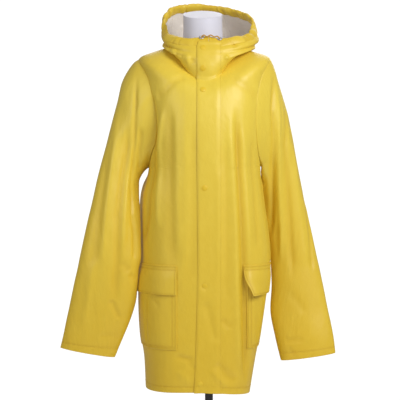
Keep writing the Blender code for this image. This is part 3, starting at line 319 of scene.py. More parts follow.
HOOD_FOLDS = (
    # The collar beside the storm flap
    Fold(FRONT, 7, -4, ((-47, 1434), (-44, 1414), (-41, 1392), (-39, 1372), (-38, 1352))),
    Fold(FRONT, 6, -4, ((-76, 1404), (-73, 1394), (-68, 1381), (-62, 1368))),
    Fold(FRONT, 6, 4.5, ((-60, 1430), (-56, 1400), (-51, 1370))),
    Fold(FRONT, 6, -4.5, ((50, 1424), (52, 1406), (53, 1384), (57, 1352))),
    Fold(FRONT, 5, 4, ((43, 1426), (42, 1400), (43, 1376))),
    Fold(FRONT, 6, -4, ((82, 1405), (78, 1393), (72, 1378), (64, 1366))),
    Fold(FRONT, 5, 4, ((70, 1408), (66, 1392), (62, 1380))),
    # The two rolls at each side, under the channel
    Fold(FRONT, 6, -4, ((-97, 1431), (-88, 1427), (-74, 1424), (-60, 1424))),
    Fold(FRONT, 5, -3, ((-88, 1411), (-78, 1407), (-66, 1403))),
    Fold(FRONT, 7, 4, ((-100, 1426), (-90, 1420), (-78, 1414))),
    Fold(FRONT, 6, -4, ((50, 1431), (64, 1433), (78, 1435), (94, 1438))),
    Fold(FRONT, 5, -3, ((62, 1415), (76, 1416), (88, 1417))),
    Fold(FRONT, 7, 4, ((68, 1423), (84, 1427), (100, 1430))),
    # The bag behind
    Fold(BACK, 16, -9, ((-60, 1500), (-64, 1420), (-46, 1350))),
    Fold(BACK, 16, -8, ((36, 1500), (44, 1420), (30, 1350))),
    Fold(BACK, 12, -3.5, ((-104, 1430), (-84, 1396), (-50, 1372))),
    Fold(BACK, 12, -3.5, ((90, 1424), (72, 1392), (40, 1370))),
    Fold(BACK, 10, 5, ((-24, 1480), (-18, 1420), (-20, 1370))),
    Fold(BACK, 7, -5, ((35, 1540), (41, 1502), (54, 1470))),
    Fold(BACK, 6, -5, ((-76, 1512), (-82, 1490), (-90, 1466))),
    Fold(RIGHT, 7, -5, ((40, 1470), (60, 1440), (84, 1424))),
    Fold(LEFT, 7, -5, ((40, 1470), (60, 1440), (84, 1424))),
)
BODY_WAVES = (Wave(0.9, (60, 60, 230), 3), Wave(0.35, (26, 26, 60), 5))
SLEEVE_WAVES = (Wave(1.3, (46, 46, 140), 7), Wave(0.6, (22, 22, 50), 9))
HOOD_WAVES = (Wave(1.3, (44, 44, 40), 11), Wave(0.8, (18, 18, 16), 13))
RIM_WAVES = (Wave(2.0, (13, 30, 30), 21), Wave(1.1, (6, 16, 16), 23))  # along the channel and round it
RIM_CREASES = Wave(1.0, (15, 40, 40), 25)  # a crease lies where this one is near 0
FOLD_FADE = 0.16  # share of a fold's length over which each end fades out
SEAM_SWING = {Side.RIGHT: 0.0, Side.LEFT: 22.0}  # degrees that a side seam swings back, up to the waist


def eased(share: Any) -> Any:
    """A share from 0 to 1, made level at both ends."""
    share = np.clip(share, 0.0, 1.0)
    return share * share * (3 - 2 * share)


def bump(place: Any, middle: float, half_width: float) -> Any:
    """A soft hill of height 1 at a middle."""
    return np.exp(-(((place - middle) / half_width) ** 2))


def curve_through(rows: Any, at: Any) -> Grid:
    """Reads rows of numbers at fractional places.

    Args:
        rows: the rows, evenly spaced.
        at: places, counted in rows.

    Returns:
        The numbers there, on a smooth curve that passes through each row.
    """
    rows = np.asarray(rows, float)
    at = np.clip(np.asarray(at, float), 0, len(rows) - 1)
    first = np.minimum(at.astype(int), len(rows) - 2)
    share = (at - first)[..., None]
    before, start = rows[np.maximum(first - 1, 0)], rows[first]
    end, after = rows[first + 1], rows[np.minimum(first + 2, len(rows) - 1)]
    square, cube = share**2, share**3
    return (
        (2 * cube - 3 * square + 1) * start
        + (cube - 2 * square + share) * (end - before) / 2
        + (3 * square - 2 * cube) * end
        + (cube - square) * (after - start) / 2
    )


def unit(vectors: Grid) -> Grid:
    """The same directions, at length 1."""
    return vectors / np.maximum(np.linalg.norm(vectors, axis=-1, keepdims=True), 1e-9)


def blurred(grid: Grid, axis: int, passes: int) -> Grid:
    """A grid smoothed along an axis, with its two ends kept."""
    grid = np.moveaxis(grid, axis, 0).copy()
    for _ in range(passes):
        grid[1:-1] = (grid[:-2] + grid[1:-1] * 2 + grid[2:]) / 4
    return np.moveaxis(grid, 0, axis)


def closest(values: Grid, wanted: float) -> int:
    """The number of the value nearest to a wanted one."""
    return int(np.argmin(np.abs(values - wanted)))


def linked(name: str, data: bpy.types.ID) -> Object:
    """A new object in the scene."""
    made = bpy.data.objects.new(name, data)
    bpy.context.scene.collection.objects.link(made)
    return made


def swell(points: Grid, wave: Wave) -> Grid:
    """How far a wave lifts each point.

    Args:
        points: places in millimetres.
        wave: the swell.

    Returns:
        Heights, smooth in space and the same on each run.
    """
    cell = points / np.array(wave.size)
    base = np.floor(cell).astype(int)
    share = eased(cell - base)
    lattice = np.random.default_rng(wave.seed).uniform(-1, 1, (32, 32, 32))
    total = np.zeros(points.shape[:-1])
    for corner in itertools.product((0, 1), repeat=3):
        weight = np.prod(np.where(np.array(corner) == 1, share, 1 - share), axis=-1)
        x, y, z = np.moveaxis((base + np.array(corner)) % 32, -1, 0)
        total += weight * lattice[x, y, z]
    return wave.height * total


def lift_of(points: Grid, fold: Fold, path: Grid) -> Grid:
    """How far a fold lifts each point.

    Args:
        points: places in millimetres.
        fold: the fold.
        path: the places on the form that its path passes.

    Returns:
        Heights: the fold's own on its path, fading across it and at its ends.
    """
    lengths = np.linalg.norm(np.diff(path, axis=0), axis=1)
    starts = np.concatenate([[0], np.cumsum(lengths)[:-1]])
    nearest = np.full(points.shape[:-1], 1e9)
    place = np.zeros(points.shape[:-1])
    for start, end, length, begun in zip(path[:-1], path[1:], lengths, starts):
        along = np.clip(((points - start) @ (end - start)) / max(length, 1e-6) ** 2, 0, 1)
        far = np.linalg.norm(points - (start + along[..., None] * (end - start)), axis=-1)
        place = np.where(far < nearest, (begun + along * length) / max(lengths.sum(), 1e-6), place)
        nearest = np.minimum(far, nearest)
    fade = eased(place / FOLD_FADE)
    if fold.path[-1][1] > BODY_RINGS[0].z_back:
        fade = fade * eased((1 - place) / FOLD_FADE)
    return fold.height * fade * np.exp(-((nearest / fold.half_width) ** 2))


class Surface:
    """Points and outward normals over rows and turns: a smooth form with folds and waves."""

    limit = 40.0  # millimetres that the whole relief stays well within

    def __init__(self, folds: Sequence[Fold], row_end: float, turns: Grid, waves: Sequence[Wave]):
        """Traces the folds' paths on the smooth form."""
        rows, angles = np.meshgrid(np.linspace(0, row_end, 260), turns, indexing="ij")
        self.seen = self.smooth(rows, angles), self.normals(self.smooth, rows, angles)
        self.paths = [(fold, self.trace(fold)) for fold in folds]
        self.waves = waves

    def smooth(self, rows: Grid, angles: Grid) -> Grid:
        """Points of the form without its folds."""
        raise NotImplementedError

    def calm(self, rows: Grid) -> Any:
        """How much of the waves shows in each row."""
        return 1.0

    def settled(self, rows: Grid) -> Any:
        """How much of the whole relief shows in each row."""
        return 1.0

    def trace(self, fold: Fold) -> Grid:
        """The points of the smooth form that a fold's path passes, seen from its side."""
        points, normals = self.seen
        look_axis, look_sign = fold.facing.value
        across_axis = 1 - look_axis
        hidden = normals[..., look_axis] * look_sign < 0.05
        found = []
        for across, height in fold.path:
            far = np.hypot(points[..., across_axis] - across, points[..., 2] - height) + 1e4 * hidden
            found.append(points[np.unravel_index(np.argmin(far), far.shape)])
        return np.array(found)

    def normals(self, shape: Callable, rows: Grid, angles: Grid) -> Grid:
        """Outward normals of a shape over rows and turns."""
        along = shape(rows + STEP, angles) - shape(rows - STEP, angles)
        round_ = shape(rows, angles + STEP * 10) - shape(rows, angles - STEP * 10)
        return unit(np.cross(round_, along))

    def relief(self, points: Grid, rows: Grid) -> Grid:
        """How far folds and waves lift each point of the smooth form."""
        height = np.zeros(points.shape[:-1])
        for fold, path in self.paths:
            height = height + lift_of(points, fold, path)
        calm = self.calm(rows)
        for wave in self.waves:
            height = height + swell(points, wave) * calm
        return self.limit * np.tanh(height * self.settled(rows) / self.limit)

    def folded(self, rows: Grid, angles: Grid) -> Grid:
        """Points with the folds on them."""
        points = self.smooth(rows, angles)
        return points + self.normals(self.smooth, rows, angles) * self.relief(points, rows)[..., None]

    def patch(self, rows: Grid, angles: Grid) -> tuple[Grid, Grid]:
        """Folded points and their normals."""
        return self.folded(rows, angles), self.normals(self.folded, rows, angles)


class Loft(Surface):
    """A table of rings."""

    def __init__(
        self, rings: Sequence[Ring], folds: Sequence[Fold] = (), waves: Sequence[Wave] = (),
        seam: float = -9.0, limit: float = 40.0,
    ):
        """Keeps the rings' numbers as columns, and the row of the seam at which the relief ends."""
        self.rings, self.seam, self.limit = rings, seam, limit
        self.table = np.array([ring[1:] for ring in rings], float)
        super().__init__(folds, len(rings) - 1, np.linspace(-180, 180, 181), waves)

    def columns(self, rows: Any) -> dict[str, Grid]:
        """The rings' numbers at rows, by name."""
        return dict(zip(Ring._fields[1:], np.moveaxis(curve_through(self.table, rows), -1, 0)))

    def smooth(self, rows: Grid, angles: Grid) -> Grid:
        """Points on the superellipse quarters of the rings."""
        ring = self.columns(rows)
        turn = np.radians(angles)
        sine, cosine = np.sin(turn), np.cos(turn)
        in_front, on_left = cosine > 0, sine > 0
        x_side, y_side, z_side = (np.where(on_left, ring[a + "_left"], ring[a + "_right"]) for a in "xyz")
        x_end, y_end, z_end = (np.where(in_front, ring[a + "_front"], ring[a + "_back"]) for a in "xyz")
        power = np.where(in_front, ring["square_front"], ring["square_back"])
        wide, deep = np.abs(x_side - x_end), np.abs(y_end - y_side)
        reach = ((np.abs(sine) / wide) ** power + (np.abs(cosine) / deep) ** power) ** (-1 / power)
        fall_back = np.where(on_left, ring["fall_left"], ring["fall_right"])
        fall = np.abs(cosine) ** np.where(in_front, ring["fall_front"], fall_back)
        x = x_end + reach * sine
        y = y_side - reach * cosine
        return np.stack([x, y, z_side + (z_end - z_side) * fall], axis=-1)

    def settled(self, rows: Grid) -> Any:
        """The relief fades out towards the seam."""
        return eased(np.abs(rows - self.seam) / 0.8)

    def last(self) -> float:
        """The number of the last row."""
        return len(self.rings) - 1.0

    def row_named(self, name: str) -> float:
        """The row of a ring."""
        return float([ring.name for ring in self.rings].index(name))

    def row_at(self, height: Any) -> Any:
        """The row whose front point is at a height."""
        rows = np.linspace(0, self.last(), 2000)
        return np.interp(height, self.columns(rows)["z_front"], rows)

    def turn_at(self, rows: Any, x: Any) -> Grid:
        """The turns at which the fronts of rows are at places across."""
        rows, x = np.broadcast_arrays(np.asarray(rows, float), np.asarray(x, float))
        ring = self.columns(rows)
        left = x > ring["x_front"]
        wide, deep = (
            np.abs(np.where(left, ring[a + "_left"], ring[a + "_right"]) - ring[a + "_front"]) for a in "xy"
        )
        across = np.minimum(np.abs(x - ring["x_front"]), wide)
        power = ring["square_front"]
        ahead = deep * (1 - (across / wide) ** power) ** (1 / power)
        return np.degrees(np.arctan2(across, ahead)) * np.where(left, 1, -1)

    def front_height(self, rows: Any) -> Grid:
        """The heights of rows' front points."""
        return self.columns(rows)["z_front"]

    def fine_rows(self, first: float, last: float, step: float) -> Grid:
        """Rows from one to another, no two further apart than a step in millimetres."""
        found = [first]
        marks = sorted({first, last} | {float(k) for k in range(math.ceil(first), math.floor(last) + 1)})
        angles = np.linspace(-180, 180, 25)
        for low, high in zip(marks[:-1], marks[1:]):
            lower, upper = self.smooth(np.full(25, low), angles), self.smooth(np.full(25, high), angles)
            count = max(1, math.ceil(np.linalg.norm(upper - lower, axis=1).max() / step))
            found += list(np.linspace(low, high, count + 1)[1:])
        return np.array(found)


@dataclass(frozen=True)
class Armhole:
    """The opening between the fronts and the back that a sleeve starts from."""

    coat: Loft
    side: Side
    length: float = 282.0  # from the armpit to the shoulder, over the coat
    reach: float = 2.3  # millimetres round the coat for each degree of turn
    low: float = 0.42  # how soon it opens above the armpit and closes at the shoulder
    high: float = 0.58
    open_front: float = 37.0  # degrees to the front of the side, and behind it
    open_back: float = 33.0

    def width(self, share: Any) -> Any:
        """How wide it is at a share of its height, as a part of its widest."""
        widest = (self.low / (self.low + self.high)) ** self.low
        widest *= (self.high / (self.low + self.high)) ** self.high
        share = np.clip(share, 0, 1)
        return share**self.low * (1 - share) ** self.high / widest

    def ends(self) -> tuple[float, float]:
        """The rows of its armpit and of its shoulder."""
        return self.coat.row_named("armpit"), self.coat.row_named("shoulder")

    def edge(self, rows: Grid, ahead: bool) -> Grid:
        """Turns at which a panel ends in rows: its seam, or the armhole's edge."""
        low, high = self.ends()
        share = (rows - low) / (high - low)
        widest = self.open_front if ahead else self.open_back
        opening = widest * np.where((share > 0) & (share < 1), self.width(share), 0.0)
        swing = SEAM_SWING[self.side] * eased((low - rows) / (low - self.coat.row_named("waist")))
        return self.side.value * (90 + swing + (-opening if ahead else opening))

    def place(self, angles: Grid, inset: float) -> tuple[Grid, Grid]:
        """Rows and turns of its edge on the coat, moved by an inset into the opening."""
        share = (1 + np.cos(np.radians(angles))) / 2
        low, high = self.ends()
        ahead = np.sin(np.radians(angles)) >= 0
        opening = np.where(ahead, self.open_front, self.open_back) * self.width(share)
        opening = np.maximum(opening - inset / self.reach, 0) * np.where(ahead, 1, -1)
        rows = low + share * (high - low) - inset * (high - low) / self.length * (2 * share - 1)
        return rows, self.side.value * (90 - opening)


class SleeveTube(Surface):
    """A tube whose first ring is the armhole's edge; rows are its cuts, turns go front first."""

    def __init__(self, armhole: Armhole, gap: float, hold: float):
        """Keeps the cuts' numbers as columns."""
        self.armhole, self.gap, self.hold = armhole, gap, hold
        self.cuts = np.array(SLEEVE_CUTS[armhole.side], float)
        folds = SLEEVE_FOLDS[armhole.side]
        super().__init__(folds, len(self.cuts) - 1, np.linspace(0, 360, 91), SLEEVE_WAVES)

    def oval(self, rows: Any, turn: Grid) -> Grid:
        """Points on the cuts' ovals."""
        x_outer, z_outer, x_inner, z_inner, y_middle, front, back = np.moveaxis(
            curve_through(self.cuts, rows), -1, 0
        )
        out = np.cos(turn)
        depth = np.where(np.sin(turn) > 0, front, back)
        x = (x_outer + x_inner) / 2 + (x_outer - x_inner) / 2 * out
        z = (z_outer + z_inner) / 2 + (z_outer - z_inner) / 2 * out
        return np.stack([x, y_middle - depth * np.sin(turn), z], axis=-1)

    def smooth(self, rows: Grid, angles: Grid) -> Grid:
        """Ovals that leave the armhole's own shape little by little."""
        turn = np.radians(angles)
        edge = self.armhole.coat.folded(*self.armhole.place(angles, self.gap))
        first = self.oval(np.zeros_like(turn), turn)
        hold = (1 - eased(rows / self.hold))[..., None]
        return self.oval(rows, turn) + (edge - first) * hold

    def calm(self, rows: Grid) -> Any:
        """The waves start beside the armhole."""
        return eased(rows / 2)

    def normals(self, shape: Callable, rows: Grid, angles: Grid) -> Grid:
        """Outward normals on either side."""
        return super().normals(shape, rows, angles) * self.armhole.side.value


def operator(operation: str, reflected: bool = False) -> Callable[["Value", Any], "Value"]:
    """An operator of Value that adds a Math node."""

    def apply(value: "Value", other: Any) -> "Value":
        """The node's output."""
        return value.shop.math(operation, *((other, value) if reflected else (value, other)))

    return apply


class Value:
    """A socket of a finish; each operator on it adds one Math node."""

    __add__, __radd__ = operator("ADD"), operator("ADD", reflected=True)
    __sub__, __rsub__ = operator("SUBTRACT"), operator("SUBTRACT", reflected=True)
    __mul__, __rmul__ = operator("MULTIPLY"), operator("MULTIPLY", reflected=True)

    def __init__(self, shop: "FinishTree", socket: Socket):
        """Keeps the socket and the tree that it is in."""
        self.shop, self.socket = shop, socket


Colour = tuple[float, float, float]


class FinishTree:
    """The nodes of one material."""

    def __init__(self, name: str, uniform: dict[str, Any]):
        """Starts a material, with the values that are the same all over it."""
        self.material = bpy.data.materials.new(name)
        self.material.use_nodes = True
        self.nodes = self.material.node_tree.nodes
        self.shader = self.nodes["Principled BSDF"]
        for socket, value in uniform.items():
            self.shader.inputs[socket].default_value = self.full(value)

    @staticmethod
    def full(value: Any) -> Any:
        """A colour of three numbers gets its alpha."""
        return (*value, 1.0) if isinstance(value, tuple) and len(value) == 3 else value

    def node(self, kind: str, settings: dict[str, Any], sockets: dict[Any, Any], out: Any = 0) -> Value:
        """Adds a node.

        Args:
            kind: the node's type.
            settings: its properties; "stops" holds a ramp's places and greys.
            sockets: numbers, vectors or links for its inputs.
            out: the output to give back.

        Returns:
            That output.
        """
        made = self.nodes.new(kind)
        for name, value in settings.items():
            if name != "stops":
                setattr(made, name, value)
                continue
            for element, (place, grey) in zip(made.color_ramp.elements, value):
                element.position, element.color = place, (grey, grey, grey, 1)
        for name, value in sockets.items():
            if isinstance(value, Value):
                self.material.node_tree.links.new(value.socket, made.inputs[name])
            else:
                made.inputs[name].default_value = value
        return Value(self, made.outputs[out])

    def math(self, operation: str, *values: Any) -> Value:
        """A Math node on numbers or links."""
        return self.node("ShaderNodeMath", {"operation": operation}, dict(enumerate(values)))

    def mix(self, share: Any, first: Any, second: Any) -> Value:
        """A colour between two."""
        sockets = {0: share, 6: self.full(first), 7: self.full(second)}
        return self.node("ShaderNodeMix", {"data_type": "RGBA"}, sockets, out=2)

    def scaled(self, place: Value, stretch: Colour) -> Value:
        """Coordinates stretched along each axis."""
        return self.node("ShaderNodeVectorMath", {"operation": "MULTIPLY"}, {0: place, 1: stretch})

    def own_place(self, stretch: Colour = (1.0, 1.0, 1.0)) -> Value:
        """The piece's own coordinates, in metres."""
        return self.scaled(self.node("ShaderNodeTexCoord", {}, {}, out="Object"), stretch)

    def cloth_place(self, stretch: Colour = (1.0, 1.0, 1.0)) -> Value:
        """Coordinates that lie on the cloth, in metres, from its own map."""
        return self.scaled(self.node("ShaderNodeUVMap", {"uv_map": "cloth"}, {}), stretch)

    def noise(self, place: Value, scale: float, detail: float, roughness: float = 0.5) -> Value:
        """Noise from 0 to 1, with a scale in waves to the metre."""
        sockets = {"Vector": place, "Scale": scale, "Detail": detail, "Roughness": roughness}
        return self.node("ShaderNodeTexNoise", {}, sockets)

    def ramp(self, value: Value, low: float, high: float) -> Value:
        """A value spread from a low and a high to 0 and 1."""
        sockets = {0: value, 1: low, 2: high, 3: 0.0, 4: 1.0}
        return self.node("ShaderNodeMapRange", {"clamp": True}, sockets)

    def mark(self, name: str) -> Value:
        """One of the piece's own attributes."""
        return self.node("ShaderNodeAttribute", {"attribute_name": name}, {}, out="Fac")

    def feed(self, socket: str, value: Value) -> None:
        """Links a value to the shader."""
        self.material.node_tree.links.new(value.socket, self.shader.inputs[socket])

    def done(self, colour: Value, roughness: Value, *layers: tuple[Value, float]) -> Material:
        """Feeds the shader.

        Args:
            colour: the base colour.
            roughness: the roughness.
            layers: bumps, each a height from 0 to 1 and its size in metres.

        Returns:
            The material.
        """
        self.feed("Base Color", colour)
        self.feed("Roughness", roughness)
        before: dict[str, Value] = {}
        for height, size in layers:
            sockets = {"Height": height, "Distance": size, "Strength": 1.0, **before}
            before = {"Normal": self.node("ShaderNodeBump", {}, sockets)}
        self.feed("Normal", before["Normal"])
        return self.material


@dataclass(frozen=True)
class CoatedCloth:
    """Smooth rubber-coated cloth: a soft sheen, fine grain, shallow crinkles, with painted shade in its fold
    valleys and stitched seams, painted highlights on its fold ridges and painted light that pales it towards
    the top.
    """

    name: str
    colour: Colour
    # for random mottling, and for painted shade in fold valleys and along seams
    deep: Colour
    # for painted light towards the top, painted highlights on ridges and a random cloudy tone
    pale: Colour
    roughness: float = 0.46
    pales_from: float = 0.62  # height in metres at which the painted light that pales the cloth towards the top starts, and where it is strongest
    pales_to: float = 1.30
    dims_from: float = 1.33  # and between which heights that painted light is partly undone, at the hood
    dims_to: float = 1.45

    def material(self) -> Material:
        """The finish as a material."""
        shop = FinishTree(
            self.name,
            {"IOR": 1.46, "Coat Roughness": 0.32, "Specular IOR Level": 0.5, "Coat Weight": 0.16},
        )
        broad = shop.noise(shop.own_place((1.0, 1.0, 0.5)), 9.0, 3.0)
        cloud = shop.noise(shop.own_place(), 48.0, 4.0)
        crinkle = shop.noise(shop.cloth_place((1.0, 0.6, 1.0)), 38.0, 3.0, 0.55)
        grain = shop.noise(shop.cloth_place(), 900.0, 2.0, 0.6)
        knit = shop.node(
            "ShaderNodeTexVoronoi", {}, {"Vector": shop.cloth_place((1.0, 0.7, 1.0)), "Scale": 520.0}
        )
        # Painted shade: the deeper a fold's valley, the more of the deep colour
        depth = shop.ramp(shop.mark("relief") * -1.0, 0.0, 1.0)
        # Painted highlight: the higher a fold's ridge, the paler
        ridge_highlight = shop.ramp(shop.mark("relief"), 0.0, 1.2)
        # Nearness to a stitched seam: painted shade in its groove, and a rougher finish there
        seam = shop.mark("seam")
        height = shop.node("ShaderNodeSeparateXYZ", {}, {0: shop.own_place()}, out="Z")
        mottled = shop.mix(shop.ramp(broad, 0.3, 0.7) * 0.2, self.colour, self.deep)
        # Painted light: the cloth pales towards the top, and a little less at the hood
        up = shop.ramp(height, self.pales_from, self.pales_to) * 0.75
        up = up - shop.ramp(height, self.dims_from, self.dims_to) * 0.4
        # Painted light towards the top and painted highlights on ridges, with a random cloudy tone
        light_and_tone = up + ridge_highlight * 0.25 + shop.ramp(cloud, 0.45, 0.8) * 0.1
        lit = shop.mix(shop.ramp(light_and_tone, 0.0, 1.0), mottled, self.pale)
        # Painted shade in the fold valleys
        valley_shade = shop.mix(depth * 0.42, lit, self.deep)
        # Painted shade along the stitched seams
        colour = shop.mix(seam * 0.3, valley_shade, self.deep)
        rough = self.roughness + (cloud - 0.5) * 0.16 + (grain - 0.5) * 0.06 + seam * 0.08
        return shop.done(colour, rough, (crinkle, 0.0016), (grain * 0.6 + knit * 0.4, 0.00012))


@dataclass(frozen=True)
class LiningCloth:
    """The white knitted backing that shows inside the coat."""

    name: str = "white_lining"
    colour: Colour = (0.97, 0.92, 0.88)
    shade: Colour = (0.84, 0.77, 0.73)

    def material(self) -> Material:
        """The finish as a material."""
        shop = FinishTree(self.name, {"Sheen Weight": 0.2, "Sheen Roughness": 0.6, "Specular IOR Level": 0.25})
        wales = shop.node(
            "ShaderNodeTexWave",
            {"wave_type": "BANDS", "bands_direction": "X"},
            {"Vector": shop.cloth_place(), "Scale": 260.0, "Distortion": 1.5, "Detail": 1.0},
        )
        fluff = shop.noise(shop.cloth_place(), 420.0, 3.0)
        broad = shop.noise(shop.own_place(), 22.0, 3.0)
        tone = shop.ramp(broad, 0.25, 0.75) * 0.3 + wales * 0.16
        colour = shop.mix(tone, self.colour, self.shade)
        return shop.done(colour, 0.82 + fluff * 0.12, (broad, 0.0014), (wales * 0.6 + fluff * 0.4, 0.0003))


@dataclass(frozen=True)
class Moulded:
    """A hard moulded or painted finish, faintly uneven."""

    name: str
    colour: Colour
    shade: Colour
    roughness: float
    coat: float = 0.0
    metallic: float = 0.0
    pitch: float = 300.0  # waves to the metre in the surface's unevenness
    relief: float = 0.00008

    def material(self) -> Material:
        """The finish as a material."""
        shop = FinishTree(self.name, {"Metallic": self.metallic, "Coat Weight": self.coat})
        broad = shop.noise(shop.own_place(), 14.0, 4.0)
        fine = shop.noise(shop.own_place(), self.pitch, 2.0)
        colour = shop.mix(shop.ramp(broad, 0.3, 0.75) * 0.6, self.colour, self.shade)
        rough = self.roughness + (fine - 0.5) * 0.14 + (broad - 0.5) * 0.1
        return shop.done(colour, rough, (fine, self.relief))


@dataclass(frozen=True)
class Braid:
    """Twisted thread or braided cord."""

    name: str
    colour: Colour
    shade: Colour
    pitch: float  # bands to the metre

    def material(self) -> Material:
        """The finish as a material."""
        shop = FinishTree(self.name, {"Sheen Weight": 0.15, "Specular IOR Level": 0.3})
        strands = [
            shop.node(
                "ShaderNodeTexWave",
                {"wave_type": "BANDS", "bands_direction": "DIAGONAL"},
                {"Vector": shop.own_place((way, 1.0, 0.6)), "Scale": self.pitch, "Distortion": 0.6},
            )
            for way in (1.0, -1.0)
        ]
        both = strands[0] * strands[1]
        return shop.done(shop.mix(both, self.shade, self.colour), 0.86 - both * 0.16, (both, 0.0003))


@dataclass(frozen=True)
class PaleFloor:
    """A plain pale floor that fades out into the white round it."""

    name: str = "pale_floor"
    inner: float = 1.3  # where the fading starts and ends, from the middle, in metres
    outer: float = 2.1

    def material(self) -> Material:
        """The finish as a material."""
        shop = FinishTree(self.name, {"Roughness": 0.7, "Base Color": (0.9, 0.9, 0.9)})
        place = shop.own_place((1.0, 1.0, 0.0))
        far = shop.node("ShaderNodeVectorMath", {"operation": "LENGTH"}, {0: place}, out="Value")
        shop.feed("Alpha", 1.0 - shop.ramp(far, self.inner, self.outer))
        return shop.material


class Wardrobe:
    """The finishes, made once and shared."""

    def __init__(self) -> None:
        """Makes each finish, and the pairs for cloth with and without a lining."""
        # The coated cloth's own colour, its deep colour for mottling and painted shade, and its pale colour for
        # painted light and highlights
        self.yellow = CoatedCloth(
            "yellow_coated_cloth", (0.80, 0.545, 0.032), (0.64, 0.39, 0.014), (0.88, 0.69, 0.085)
        ).material()
        self.lining = LiningCloth().material()
        self.thread = Braid("yellow_thread", (0.88, 0.66, 0.07), (0.74, 0.50, 0.03), 900.0).material()
        self.stud = Moulded(
            "yellow_stud_lacquer", (0.85, 0.60, 0.04), (0.76, 0.50, 0.02), 0.42
        ).material()
        self.silver = Moulded(
            "silver_ring", (0.80, 0.80, 0.81), (0.6, 0.6, 0.62), 0.28, metallic=1.0
        ).material()
        self.cord = Braid("yellow_cord", (0.80, 0.46, 0.05), (0.52, 0.26, 0.02), 420.0).material()
        self.form = Moulded(
            "white_form_shell", (0.80, 0.80, 0.92), (0.73, 0.73, 0.86), 0.45, pitch=120.0
        ).material()
        self.metal = Moulded(
            "black_painted_steel", (0.03, 0.03, 0.032), (0.05, 0.05, 0.052), 0.38, coat=0.2
        ).material()
        self.lined = self.yellow, self.lining
        self.double = self.yellow, self.yellow


